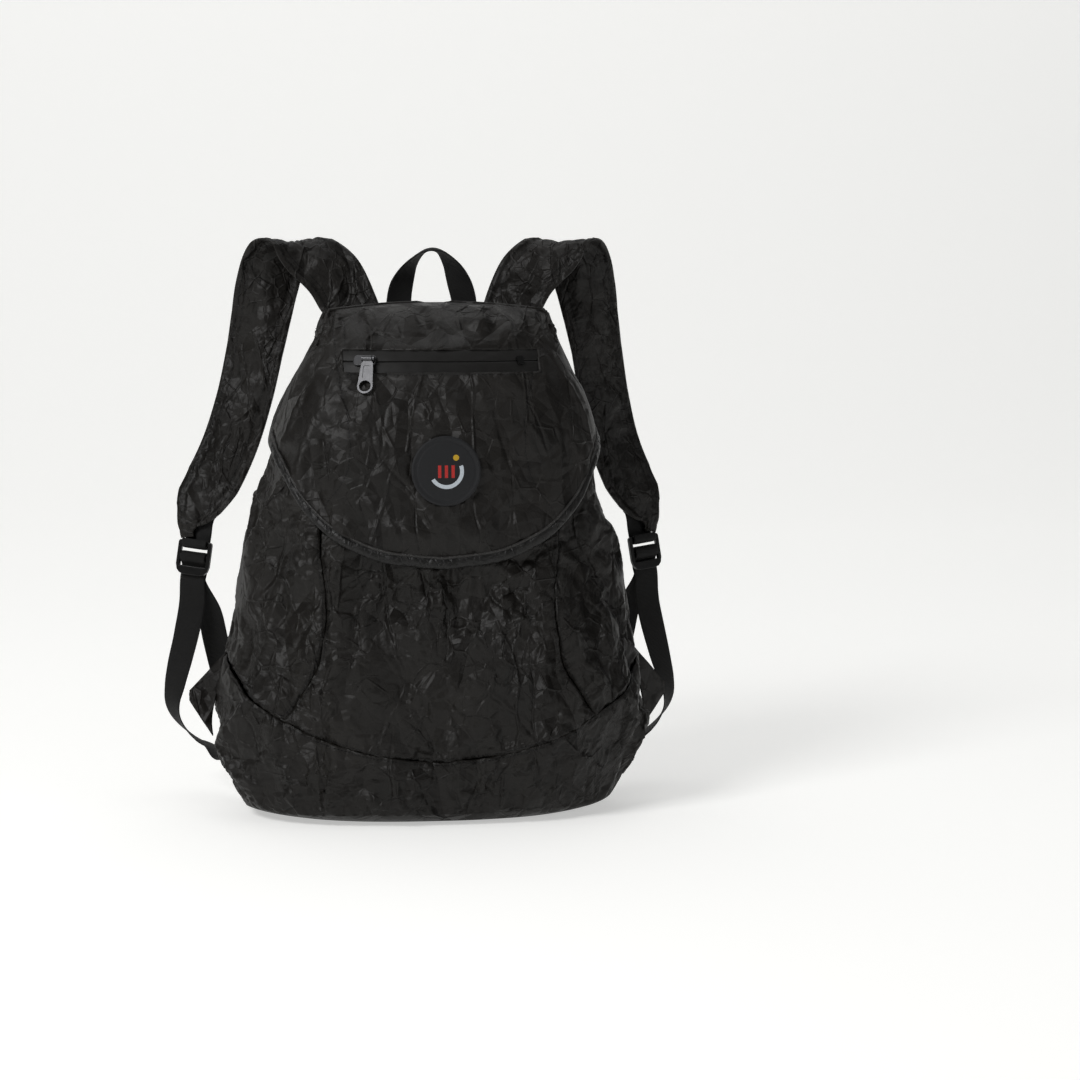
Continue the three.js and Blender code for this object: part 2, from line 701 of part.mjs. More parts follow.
// A frame on the zip: across runs to the right along the tape, face out of it and above up it
function zipFrame(across) {
  const turn = lidTurnAt(zipMiddle().x + across, zipLevel);
  const face = hullNormal(lidSections, turn, zipLevel);
  const along = new THREE.Vector3(0, 0, 1).cross(face).normalize();
  const above = face.clone().cross(along).normalize();
  const seat = hullPoint(lidSections, turn, zipLevel);
  seat.addScaledVector(face, zipCoilHeight * 1.15 + layerGap - tapeInset);
  return { along, above, face, seat };
}

// Puts a piece made with X along, Y above and Z out of the face into a frame
function setIn(mesh, frame) {
  const turnTo = new THREE.Matrix4().makeBasis(frame.along, frame.above, frame.face);
  mesh.quaternion.setFromRotationMatrix(turnTo);
  mesh.position.copy(frame.seat);
  return mesh;
}

// Settings of a straight extrusion without a bevel
const plain = (depth, curveSegments) => ({ depth, bevelEnabled: false, curveSegments });

function roundedOutline(width, height, radius) {
  const [w, h] = [width / 2, height / 2];
  const shape = new THREE.Shape();
  shape.moveTo(-w + radius, -h);
  shape.lineTo(w - radius, -h);
  shape.absarc(w - radius, -h + radius, radius, -Math.PI / 2, 0, false);
  shape.lineTo(w, h - radius);
  shape.absarc(w - radius, h - radius, radius, 0, Math.PI / 2, false);
  shape.lineTo(-w + radius, h);
  shape.absarc(-w + radius, h - radius, radius, Math.PI / 2, Math.PI, false);
  shape.lineTo(-w, -h + radius);
  shape.absarc(-w + radius, -h + radius, radius, Math.PI, 1.5 * Math.PI, false);
  return shape;
}

function zipStop() {
  const outline = roundedOutline(zipStopLength, zipCoilWidth + 2, 0.8);
  const stop = new THREE.ExtrudeGeometry(outline, plain(zipStopWall, 2));
  return setIn(piece("zip_end_stop", stop, coil), zipFrame(zipWindowWidth / 2 - zipStopInset));
}

// Height of the hinge bar above the slider's seat, and its place towards the slider's right end
const barHeight = sliderWall + eyeRadius + eyeGap;
const barAcross = sliderLength / 2 - lugWall - eyeWidth / 2 - eyeGap;
const barAbove = -0.6;

function zipSlider() {
  const plate = new THREE.ExtrudeGeometry(roundedOutline(sliderLength, sliderWidth, 3), {
    depth: sliderWall - 0.8,
    bevelEnabled: true,
    bevelThickness: 0.4,
    bevelSize: 0.4,
    bevelSegments: 1,
    curveSegments: 4,
  });
  plate.translate(0, 0, 0.4);
  let solid = solidOf(plate);
  const lugRadius = 2;
  [-1, 1].forEach((way) => {
    const lug = new THREE.Shape();
    lug.moveTo(-lugRadius, 0);
    lug.lineTo(lugRadius, 0);
    lug.lineTo(lugRadius, barHeight - 1);
    lug.absarc(0, barHeight - 1, lugRadius, 0, Math.PI, false);
    lug.closePath();
    const plateOfLug = new THREE.ExtrudeGeometry(lug, plain(lugWall, 5));
    plateOfLug.translate(0, -1, -lugWall / 2);
    plateOfLug.rotateX(Math.PI / 2);
    plateOfLug.rotateZ(Math.PI / 2);
    plateOfLug.translate(barAcross + way * (eyeWidth / 2 + eyeGap + lugWall / 2), barAbove, 0);
    plateOfLug.translate(0, 0, 2);
    solid = solid.add(solidOf(plateOfLug));
  });
  const bar = new THREE.CylinderGeometry(barRadius, barRadius, eyeWidth + 2 * eyeGap + lugWall, 10);
  bar.rotateZ(Math.PI / 2);
  bar.translate(barAcross, barAbove, barHeight);
  return setIn(piece("zip_slider", meshOf(solid.add(solidOf(bar))), gunmetal), sliderFrame());
}

const sliderFrame = () => zipFrame(-zipWindowWidth / 2 + sliderInset);

// The puller hangs from the bar: a rolled eye, then a plate that widens to a round hole
function zipPuller() {
  const eyeHole = barRadius + eyeGap;
  const eyeOutline = new THREE.Shape();
  eyeOutline.absarc(0, 0, eyeRadius, 0, 2 * Math.PI, false);
  eyeOutline.holes.push(new THREE.Path().absarc(0, 0, eyeHole, 0, 2 * Math.PI, true));
  const eye = new THREE.ExtrudeGeometry(eyeOutline, plain(eyeWidth, 8));
  eye.translate(0, 0, -eyeWidth / 2);
  eye.rotateY(Math.PI / 2);
  const end = pullerLength - pullerWidth / 2;
  const neck = eyeHole + 0.6;
  const shoulder = 5;
  const plate = new THREE.Shape();
  plate.moveTo(-eyeWidth / 2, -neck);
  plate.lineTo(-pullerNeckWidth / 2, -shoulder);
  plate.lineTo(-pullerWidth / 2, -end);
  plate.absarc(0, -end, pullerWidth / 2, Math.PI, 2 * Math.PI, false);
  plate.lineTo(pullerNeckWidth / 2, -shoulder);
  plate.lineTo(eyeWidth / 2, -neck);
  plate.closePath();
  plate.holes.push(new THREE.Path().absarc(0, -end, pullerHoleRadius, 0, 2 * Math.PI, true));
  const body = new THREE.ExtrudeGeometry(plate, plain(pullerWall, 7));
  body.translate(0, 0, -pullerWall / 2);
  const panelLength = end - pullerHoleRadius - shoulder - 4;
  const panelOutline = roundedOutline(pullerNeckWidth - 4, panelLength, 1);
  const panel = new THREE.ExtrudeGeometry(panelOutline, plain(pullerWall, 2));
  panel.translate(0, -shoulder - 2 - panelLength / 2, pullerWall / 2 - pullerPanelDepth);
  const solid = solidOf(eye).add(solidOf(body)).subtract(solidOf(panel));
  const mesh = setIn(piece("zip_puller", meshOf(solid), gunmetal), sliderFrame());
  mesh.position.copy(barCentre());
  mesh.rotateX(rad(pullerLean));
  return mesh;
}

function barCentre() {
  const frame = sliderFrame();
  return frame.seat
    .clone()
    .addScaledVector(frame.along, barAcross)
    .addScaledVector(frame.above, barAbove)
    .addScaledVector(frame.face, barHeight);
}

// The badge follows the lid's curve: rings of points round its middle
function badge() {
  const rings = 2;
  const around = 24;
  const at = (r, c, inset) => {
    const reach = (badgeDiameter / 2) * (r / rings);
    const angle = (2 * Math.PI * c) / around;
    const height = badgeLevel + reach * Math.sin(angle);
    const turn = lidTurnAt(zipMiddle().x + reach * Math.cos(angle), height);
    const raise = badgeRaise + (inset > 0 ? 0 : badgeWall);
    return lidPoint(turn, height, -raise);
  };
  const outer = grid(rings, around - 1, (r, c) => at(r, c, 0));
  const inner = grid(rings, around - 1, (r, c) => at(r, c, 1));
  return bodyBetween(outer, inner, true);
}

// A flat band along a line of stations. Each has its point, width and thickness, and the direction
// across the band, which is squared to the line. edge is the thickness at the band's two sides.
function band(stations, columns, stepsBetween) {
  const spots = stations.map((s) => s.point);
  const line = new THREE.CatmullRomCurve3(spots, false, "centripetal");
  const last = stations.length - 1;
  const steps = last * stepsBetween;
  const rows = [];
  for (let i = 0; i <= steps; i += 1) {
    const at = i / stepsBetween;
    const k = Math.min(last - 1, Math.floor(at));
    const t = at - k;
    const mix = (name) => stations[k][name] * (1 - t) + stations[k + 1][name] * t;
    const across = new THREE.Vector3().lerpVectors(stations[k].across, stations[k + 1].across, t);
    const along = line.getTangent(i / steps);
    across.addScaledVector(along, -across.dot(along)).normalize();
    const face = across.clone().cross(along).normalize();
    const point = line.getPoint(i / steps);
    rows.push({ point, across, face, wide: mix("wide"), thick: mix("thick"), edge: mix("edge") });
  }
  const at = (r, c, way) => {
    const row = rows[r];
    const side = (2 * c) / columns - 1;
    const crown = row.edge + (row.thick - row.edge) * (1 - side ** 4);
    return row.point
      .clone()
      .addScaledVector(row.across, (side * row.wide) / 2)
      .addScaledVector(row.face, (way * crown) / 2);
  };
  const outer = grid(steps, columns, (r, c) => at(r, c, 1));
  const inner = grid(steps, columns, (r, c) => at(r, c, -1));
  return bodyBetween(outer, inner, false);
}

// A point and a direction for one side of the bag: side is 1 for right and -1 for left
function spot(side, row) {
  return new THREE.Vector3(
    side * row.out * (bagWidth / 2) + bagWidth * topLean * ramp(0.5, 0.95, row.up),
    row.back * bagDepth,
    row.up * bagHeight,
  );
}

function acrossAt(side, turn, lift = 0) {
  const level = Math.cos(rad(lift));
  const [right, back] = [level * Math.cos(rad(turn)), level * Math.sin(rad(turn))];
  return new THREE.Vector3(side * right, back, Math.sin(rad(lift)));
}

function shoulderStrap(side) {
  const roots = strapRoots.map((row) => ({
    ...sewnOnLid(side, row, strapThickness * row.full),
    wide: strapWidth * row.wide,
    thick: strapThickness * row.full,
    edge: strapEdge,
  }));
  const stations = strapRows.map((row) => ({
    point: spot(side, row),
    across: acrossAt(side, row.turn, row.lift),
    wide: strapWidth * row.wide,
    thick: strapThickness * row.full,
    edge: strapEdge,
  }));
  return band([...roots, ...stations], 4, 2);
}

// The buckle's frame: along runs up the strap, face towards the viewer and across away from the bag
function buckleFrame(side) {
  const across = acrossAt(side, buckleSeat.turn);
  const along = new THREE.Vector3(
    -side * Math.sin(rad(buckleSeat.leanOut)),
    Math.sin(rad(buckleSeat.leanIn)),
    1,
  ).normalize();
  across.addScaledVector(along, -across.dot(along)).normalize();
  const face = across.clone().cross(along).multiplyScalar(side).normalize();
  const seat = spot(side, buckleSeat).addScaledVector(along, -buckleDrop);
  return { across, along, face, seat };
}

function inBuckle(side, row) {
  const frame = buckleFrame(side);
  return frame.seat
    .clone()
    .addScaledVector(frame.along, row.along * buckleBar)
    .addScaledVector(frame.face, row.face * buckleBar);
}

function strapKeeper(side) {
  const frame = buckleFrame(side);
  const upper = keeperRows.map((row) => ({
    point: spot(side, row).addScaledVector(frame.face, -strapThickness * row.behind),
    across: acrossAt(side, row.turn),
    wide: webbingWidth * row.wide,
  }));
  const lower = keeperThread.map((row) => ({
    point: inBuckle(side, row),
    across: frame.across.clone(),
    wide: webbingWidth,
  }));
  const stations = [...upper, ...lower].map((s) => ({ ...s, thick: keeperWall, edge: keeperWall }));
  return band(stations, 1, 2);
}

function ladderLock(side) {
  const inside = webbingWidth / 2 + slotEase / 2;
  const half = inside + buckleRail;
  const body = new THREE.Shape();
  const lipRadius = 9;
  body.moveTo(-half + lipRadius, -buckleBottom);
  body.lineTo(half - lipRadius, -buckleBottom);
  body.quadraticCurveTo(half - 1, -buckleBottom, half, -buckleBottom + lipRadius);
  body.lineTo(half, buckleTop - 3);
  body.quadraticCurveTo(half, buckleTop, half - 3, buckleTop);
  body.lineTo(-half + 3, buckleTop);
  body.quadraticCurveTo(-half, buckleTop, -half, buckleTop - 3);
  body.lineTo(-half, -buckleBottom + lipRadius);
  body.quadraticCurveTo(-half + 1, -buckleBottom, -half + lipRadius, -buckleBottom);
  const slot = (low, high) => {
    const hole = new THREE.Path();
    hole.moveTo(-inside, low);
    hole.lineTo(-inside, high);
    hole.lineTo(inside, high);
    hole.lineTo(inside, low);
    hole.closePath();
    return hole;
  };
  body.holes.push(slot(-2.25 * buckleBar, -0.5 * buckleBar));
  body.holes.push(slot(0.375 * buckleBar, buckleTop - buckleBar));
  const frame = new THREE.ExtrudeGeometry(body, {
    depth: buckleBar - 1,
    bevelEnabled: true,
    bevelThickness: 0.5,
    bevelSize: 0.3,
    bevelOffset: -0.3,
    bevelSegments: 1,
    curveSegments: 3,
  });
  frame.translate(0, 0, -(buckleBar - 1) / 2);
  const seat = buckleFrame(side);
  const along = seat.across.clone().multiplyScalar(side);
  return { geometry: frame, frame: { along, above: seat.along, face: seat.face, seat: seat.seat } };
}

// One length of webbing: from the bag's corner, up through the buckle and down as a loose tail
function adjustingWebbing(side) {
  const frame = buckleFrame(side);
  const end = side * rad(runEnd.turn);
  const height = bagHeight * runEnd.up;
  const corner = bagPoint(end, height, 0);
  const outFromCorner = bagPoint(end, height, -12);
  const size = { wide: webbingWidth, thick: webbingWall, edge: webbingWall };
  const flat = (point, across) => ({ point, across, ...size });
  const run = runRows.map((row) => flat(spot(side, row), acrossAt(side, row.turn)));
  const tail = tailRows.map((row) => flat(spot(side, row), acrossAt(side, row.turn)));
  const threaded = webbingThread.map((row) => flat(inBuckle(side, row), frame.across.clone()));
  const stations = [
    flat(corner, acrossAt(side, runEnd.across)),
    flat(outFromCorner, acrossAt(side, runEnd.across - 8)),
    ...run.reverse(),
    ...threaded,
    ...tail,
  ];
  return band(stations, 1, 2);
}

function grabHandle() {
  const flat = (place) => ({ ...place, wide: handleWidth, thick: handleWall, edge: handleWall });
  const root = (side, row) => {
    const place = sewnOnLid(side, row, handleWall);
    return flat({ point: place.point, across: place.across.negate() });
  };
  const loop = handleRows.map((row) => flat({ point: spot(1, row), across: acrossAt(1, row.turn) }));
  const left = handleRoots.map((row) => root(-1, row));
  const right = handleRoots.map((row) => root(1, row)).reverse();
  return band([...left, ...loop, ...right], 1, 3);
}

// A tab sewn along the side: rows run from the sewn edge to the tip, columns run up
function sideTab(side) {
  const rows = 3;
  const columns = 4;
  const low = bagHeight * tabEdge.low;
  const high = bagHeight * tabEdge.high;
  const tip = bagPoint(side * rad(tabEdge.tipTurn), bagHeight * tabEdge.tipUp, -tabReach);
  const at = (r, c, way) => {
    const share = c / columns;
    const height = low + (high - low) * share;
    const turn = side * rad(tabEdge.turn);
    const sewn = bagPoint(turn, height, -tabStandOff);
    const point = tip.clone();
    point.z += tabTipHeight * (share - 0.5);
    const spread = new THREE.Vector3().lerpVectors(sewn, point, r / rows);
    const out = hullNormal(bagSections, turn, height);
    const level = new THREE.Vector3(-out.y, out.x, 0).normalize();
    return spread.addScaledVector(level, (way * tabWall) / 2);
  };
  const outer = grid(rows, columns, (r, c) => at(r, c, 1));
  const inner = grid(rows, columns, (r, c) => at(r, c, -1));
  return bodyBetween(outer, inner, false);
}

const bag = new THREE.Group();
bag.add(
  piece("bottom_panel", bottomPanel(), cloth),
  piece("front_panel", upperPanel(leftFront, frontSeam, frontColumns), cloth),
  piece("side_panel_left", upperPanel(leftBack, leftFront, sideColumns), cloth),
  piece("side_panel_right", upperPanel(frontSeam, rightBack, sideColumns), cloth),
  piece("back_panel", upperPanel(rightBack, farBack, backColumns), cloth),
  piece("lid", lidShell(), cloth),
  piece("lid_binding", lidBinding(), webbing),
  piece("zip_tape", zipTape(), coil),
  zipStop(),
  zipSlider(),
  zipPuller(),
  piece("badge", badge(), rubber),
  piece("grab_handle", grabHandle(), webbing),
);
[["left", -1], ["right", 1]].forEach(([word, side]) => {
  const lock = ladderLock(side);
  bag.add(
    piece("shoulder_strap_" + word, shoulderStrap(side), cloth),
    piece("strap_keeper_" + word, strapKeeper(side), webbing),
    setIn(piece("ladder_lock_" + word, lock.geometry, plastic), lock.frame),
    piece("webbing_" + word, adjustingWebbing(side), webbing),
    piece("side_tab_" + word, sideTab(side), cloth),
  );
});

// The origin is under the middle of the whole object, on the surface that it stands on
const extent = new THREE.Box3().setFromObject(bag, true);
bag.position.set(-(extent.min.x + extent.max.x) / 2, -(extent.min.y + extent.max.y) / 2, -extent.min.z);

const backpack = new THREE.Group();
backpack.add(bag);
export default backpack;
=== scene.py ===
# A packable daypack of thin crinkled cloth, standing full on a pale floor. Lengths in the tables are
# shares of the named sizes; sizes are in millimetres and become metres where a mesh is made.
import math
import bpy
import numpy as np
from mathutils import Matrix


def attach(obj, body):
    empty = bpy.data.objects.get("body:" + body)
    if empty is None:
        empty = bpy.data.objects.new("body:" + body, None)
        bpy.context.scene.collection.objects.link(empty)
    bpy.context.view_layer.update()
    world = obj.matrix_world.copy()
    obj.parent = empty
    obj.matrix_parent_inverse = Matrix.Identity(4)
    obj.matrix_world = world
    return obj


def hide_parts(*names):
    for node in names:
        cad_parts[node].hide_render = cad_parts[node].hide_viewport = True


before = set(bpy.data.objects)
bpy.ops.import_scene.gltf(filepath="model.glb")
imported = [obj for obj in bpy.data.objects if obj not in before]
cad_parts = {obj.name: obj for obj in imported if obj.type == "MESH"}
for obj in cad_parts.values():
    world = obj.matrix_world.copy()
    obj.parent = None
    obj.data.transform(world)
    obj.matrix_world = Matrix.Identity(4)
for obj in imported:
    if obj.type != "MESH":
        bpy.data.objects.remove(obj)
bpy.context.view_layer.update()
scene = bpy.context.scene


# One named array for each column.
def table(columns, rows):
    return {name: np.array([row[i] for row in rows], float) for i, name in enumerate(columns)}


# Camera

view = {"place": (-0.2182, -2.5926, 0.5149), "azimuth": -7.0, "elevation": 6.0, "lens": 96.3, "sensor": 36,
        "near": 0.05, "far": 60}


def makeCamera():
    data = bpy.data.cameras.new("camera")
    data.lens = view["lens"]
    data.sensor_width = view["sensor"]
    data.clip_start, data.clip_end = view["near"], view["far"]
    camera = bpy.data.objects.new("camera", data)
    scene.collection.objects.link(camera)
    camera.location = view["place"]
    camera.rotation_euler = (math.radians(90 - view["elevation"]), 0, math.radians(view["azimuth"]))
    scene.camera = camera


makeCamera()
print("camera made")

# Sizes of the bag

bag = {"width": 396, "depth": 190, "height": 456, "wall": 1.6, "seamGap": -0.3, "lean": 0.018}
# The origin is the middle of the whole part's box, and the bag's own middle lies this far in front
place = {"y": -15.593}

bagSections = table(["up", "wide", "front", "back", "lean"], [
    [0.0, 0.49, 0.32, 0.33, -0.007],
    [0.006, 0.68, 0.42, 0.39, -0.007],
    [0.022, 0.81, 0.48, 0.42, -0.007],
    [0.046, 0.87, 0.517, 0.435, -0.007],
    [0.07, 0.912, 0.53, 0.447, -0.005],
    [0.12, 0.966, 0.548, 0.453, -0.005],
    [0.175, 0.99, 0.552, 0.453, -0.003],
    [0.24, 0.965, 0.542, 0.447, -0.002],
    [0.3, 0.93, 0.526, 0.442, 0.0],
    [0.36, 0.904, 0.51, 0.436, 0.0],
    [0.435, 0.858, 0.495, 0.426, 0.002],
    [0.53, 0.806, 0.475, 0.416, 0.003],
    [0.61, 0.758, 0.465, 0.405, 0.004],
    [0.66, 0.735, 0.462, 0.4, 0.005],
    [0.73, 0.705, 0.455, 0.392, 0.006],
    [0.78, 0.677, 0.436, 0.387, 0.008],
    [0.83, 0.63, 0.39, 0.382, 0.01],
    [0.88, 0.567, 0.332, 0.378, 0.011],
    [0.92, 0.52, 0.267, 0.375, 0.012],
    [0.965, 0.49, 0.15, 0.37, 0.013],
])
lidSections = table(["up", "wide", "front", "back", "lean"], [
    [0.47, 0.86, 0.518, 0.43, 0.003],
    [0.57, 0.815, 0.521, 0.42, 0.004],
    [0.65, 0.78, 0.516, 0.412, 0.005],
    [0.727, 0.744, 0.498, 0.403, 0.006],
    [0.775, 0.715, 0.474, 0.398, 0.008],
    [0.82, 0.674, 0.437, 0.393, 0.01],
    [0.867, 0.616, 0.39, 0.389, 0.011],
    [0.912, 0.568, 0.322, 0.386, 0.012],
    [0.943, 0.538, 0.252, 0.385, 0.013],
    [0.967, 0.532, 0.178, 0.382, 0.013],
    [0.984, 0.526, 0.094, 0.362, 0.014],
    [0.995, 0.5, 0.02, 0.318, 0.014],
])
lidCrown = {"up": 1.0, "back": 0.16, "lean": 0.014}
lidEdgeRows = table(["turn", "up"], [
    [0, 0.499], [15, 0.509], [30, 0.543], [45, 0.605], [60, 0.677], [75, 0.715],
    [90, 0.735], [102, 0.772], [114, 0.852], [125, 0.93], [134, 0.947], [180, 0.947],
])
bottomSeamRows = table(["turn", "up"], [
    [0, 0.128], [15, 0.14], [30, 0.171], [45, 0.219], [60, 0.263], [75, 0.298],
    [90, 0.314], [105, 0.3], [120, 0.24], [137, 0.15], [160, 0.13], [180, 0.128],
])
frontSeamRows = table(["up", "turn"], [
    [0.2, 43], [0.22, 40.5], [0.25, 38], [0.29, 35], [0.33, 33], [0.38, 32.7],
    [0.45, 34.5], [0.53, 38], [0.66, 42], [0.95, 50],
])
mouthRows = table(["turn", "up"], [
    [0, 0.932], [110, 0.932], [128, 0.958], [137, 0.963], [180, 0.963],
])
backSeamTurn = math.radians(137)
squareness = {"front": 2.4, "back": 3.6}

# Large folds: turn in degrees and up place the middle, lie is the angle of the fold's line from level
foldColumns = ["turn", "up", "lie", "length", "width", "lift"]
bagFolds = table(foldColumns, [
    [-6, 0.4, 96, 0.2, 0.045, 0.03],
    [3, 0.42, 82, 0.17, 0.036, -0.032],
    [12, 0.4, 66, 0.2, 0.045, 0.032],
    [-16, 0.42, 112, 0.15, 0.04, -0.022],
    [21, 0.44, 46, 0.15, 0.04, -0.026],
    [27, 0.33, 38, 0.2, 0.05, 0.03],
    [10, 0.24, 24, 0.2, 0.046, -0.03],
    [-12, 0.25, 150, 0.2, 0.05, 0.03],
    [-26, 0.34, 60, 0.18, 0.046, -0.026],
    [30, 0.18, 28, 0.16, 0.046, 0.026],
    [-34, 0.2, 140, 0.17, 0.05, -0.026],
    [0, 0.13, 4, 0.3, 0.036, -0.018],
    [-60, 0.4, 75, 0.16, 0.05, -0.03],
    [62, 0.38, 105, 0.16, 0.05, -0.03],
    [-78, 0.525, 20, 0.09, 0.055, 0.034],
    [80, 0.53, 160, 0.09, 0.055, 0.034],
    [84, 0.592, 5, 0.1, 0.026, -0.034],
    [-55, 0.22, 20, 0.15, 0.05, 0.026],
    [55, 0.25, 160, 0.15, 0.05, 0.026],
    [180, 0.45, 8, 0.3, 0.06, -0.024],
    [160, 0.3, 60, 0.2, 0.06, 0.02],
    [-158, 0.32, 115, 0.2, 0.06, 0.02],
])
lidFolds = table(foldColumns, [
    [0, 0.57, 2, 0.28, 0.036, 0.016],
    [-14, 0.62, 40, 0.14, 0.036, -0.016],
    [16, 0.6, 140, 0.15, 0.036, -0.016],
    [-24, 0.8, 20, 0.16, 0.034, 0.014],
    [20, 0.82, 165, 0.16, 0.034, -0.014],
    [0, 0.84, 3, 0.2, 0.03, 0.012],
    [-50, 0.72, 70, 0.12, 0.036, 0.018],
    [52, 0.72, 110, 0.12, 0.036, 0.018],
    [-42, 0.64, 100, 0.1, 0.03, -0.016],
    [44, 0.66, 80, 0.1, 0.03, -0.016],
])
gathers = {"height": 1.3, "low": 0.915, "full": 0.965, "counts": (20, 33)}


# Curves and surfaces

# Smooth curve through a table's rows without overshoot: cubic pieces whose slopes at the rows are the
# harmonic means of the slopes on both sides.
def follow(rows, key, name, at):
    x, y = rows[key], rows[name]
    slope = np.diff(y) / np.diff(x)
    product = slope[:-1] * slope[1:]
    total = np.where(product > 0, slope[:-1] + slope[1:], 1.0)
    inner = np.where(product > 0, 2 * product / total, 0.0)
    tangent = np.concatenate(([slope[0]], inner, [slope[-1]]))
    at = np.clip(at, x[0], x[-1])
    i = np.clip(np.searchsorted(x, at, side="right") - 1, 0, len(x) - 2)
    span = x[i + 1] - x[i]
    t = (at - x[i]) / span
    blend = t * t * (3 - 2 * t)
    level = y[i] * (1 - blend) + y[i + 1] * blend
    return level + span * t * (1 - t) * ((1 - t) * tangent[i] - t * tangent[i + 1])


# Smooth step from 0 at start to 1 at end.
def ramp(start, end, at):
    t = np.clip((at - start) / (end - start), 0, 1)
    return t * t * (3 - 2 * t)


# The turn's distance from the front in degrees, whichever side it is on.
def degreesOff(turn):
    return np.abs(np.degrees(np.arctan2(np.sin(turn), np.cos(turn))))


def lidEdge(turn):
    return bag["height"] * follow(lidEdgeRows, "turn", "up", degreesOff(turn))


def bottomSeam(turn):
    return bag["height"] * follow(bottomSeamRows, "turn", "up", degreesOff(turn))


def mouth(turn):
    return bag["height"] * follow(mouthRows, "turn", "up", degreesOff(turn))


def frontSeam(height):
    return np.radians(follow(frontSeamRows, "up", "turn", height / bag["height"]))


# A rounded box in plan: wide, deep and lean come from the sections at this height, and the outline is
# a superellipse, rounder in front than behind.
def hullPoint(sections, turn, height):
    up = height / bag["height"]
    wide = bag["width"] / 2 * follow(sections, "up", "wide", up)
    forward = np.cos(turn) > 0
    deep = np.where(forward, follow(sections, "up", "front", up), follow(sections, "up", "back", up))
    power = np.where(forward, squareness["front"], squareness["back"])
    reach = (np.abs(np.cos(turn)) ** power + np.abs(np.sin(turn)) ** power) ** (-1 / power)
    middle = bag["width"] * follow(sections, "up", "lean", up)
    x = middle + wide * reach * np.sin(turn)
    y = -bag["depth"] * deep * reach * np.cos(turn)
    return np.stack([x, y, height + 0 * turn], -1)


# Out of the smooth form: the step round it crossed with the step up it.
def hullNormal(sections, turn, height):
    low = np.maximum(height - 1, bag["height"] * sections["up"][0])
    high = np.minimum(height + 1, bag["height"] * sections["up"][-1])
    across = hullPoint(sections, turn + 0.02, height) - hullPoint(sections, turn - 0.02, height)
    upward = hullPoint(sections, turn, high) - hullPoint(sections, turn, low)
    out = np.cross(across, upward)
    return out / np.linalg.norm(out, axis=-1, keepdims=True)


# The sum of smooth ridges, each falling off as a bell across and along its line.
def foldHeight(folds, turn, height):
    total = 0 * turn + 0 * height
    for k in range(len(folds["turn"])):
        swing = turn - math.radians(folds["turn"][k])
        swing = np.arctan2(np.sin(swing), np.cos(swing))
        across = swing * bag["width"] / 2
        above = height - bag["height"] * folds["up"][k]
        lie = math.radians(folds["lie"][k])
        along = across * math.cos(lie) + above * math.sin(lie)
        beside = above * math.cos(lie) - across * math.sin(lie)
        far = (along / (bag["width"] * folds["length"][k])) ** 2
        far = far + (beside / (bag["width"] * folds["width"][k])) ** 2
        total = total + bag["depth"] * folds["lift"][k] * np.exp(-far)
    return total


# A point of the smooth form moved out by a distance.
def offHull(sections, turn, height, out):
    return hullPoint(sections, turn, height) + hullNormal(sections, turn, height) * np.asarray(out)[..., None]


# Smooth noise from -1 to 1: random values on a square lattice, joined by smooth steps.
def noise(u, v, seed):
    values = np.random.default_rng(seed).uniform(-1, 1, (97, 97))
    i, j = np.floor(u).astype(int), np.floor(v).astype(int)
    s, t = u - i, v - j
    s, t = s * s * (3 - 2 * s), t * t * (3 - 2 * t)
    low = values[i % 97, j % 97] * (1 - s) + values[(i + 1) % 97, j % 97] * s
    high = values[i % 97, (j + 1) % 97] * (1 - s) + values[(i + 1) % 97, (j + 1) % 97] * s
    return low * (1 - t) + high * t


# Crushed cloth: random heights at the corners of a bent net of triangles, each triangle flat, so that
# the surface turns sharply at the net's lines.
def facets(u, v, size, seed, bend=0.55):
    random = np.random.default_rng(seed)
    heights = random.uniform(-1, 1, (97, 97))
    lie = random.uniform(0, math.pi)
    x = (u * math.cos(lie) + v * math.sin(lie)) / size
    y = (v * math.cos(lie) - u * math.sin(lie)) / size
    bentX = x + bend * noise(x * 0.8, y * 0.8, seed + 1)
    bentY = y + bend * noise(x * 0.8 + 31, y * 0.8, seed + 2)
    b = bentY / 0.866
    a = bentX - b / 2
    i, j = np.floor(a).astype(int), np.floor(b).astype(int)
    s, t = a - i, b - j
    lower = s + t < 1
    corner = np.where(lower, heights[i % 97, j % 97], heights[(i + 1) % 97, (j + 1) % 97])
    first = heights[(i + 1) % 97, j % 97]
    second = heights[i % 97, (j + 1) % 97]
    weights = np.where(lower, 1 - s - t, s + t - 1), np.where(lower, s, 1 - t), np.where(lower, t, 1 - s)
    return weights[0] * corner + weights[1] * first + weights[2] * second


# Facets of three sizes, stretched along the cloth's drag direction, and stronger in patches.
def crumple(u, v, spec):
    lie = math.radians(spec["drag"])
    along = (u * math.cos(lie) + v * math.sin(lie)) / spec["stretch"]
    beside = v * math.cos(lie) - u * math.sin(lie)
    patch = 0.72 + 0.45 * noise(u / 70 + 5, v / 70, spec["seed"] + 50)
    total = 0
    for k, (size, lift) in enumerate(zip(spec["sizes"], spec["lifts"])):
        total = total + lift * facets(along, beside, size, spec["seed"] + 10 * k)
    return total * patch


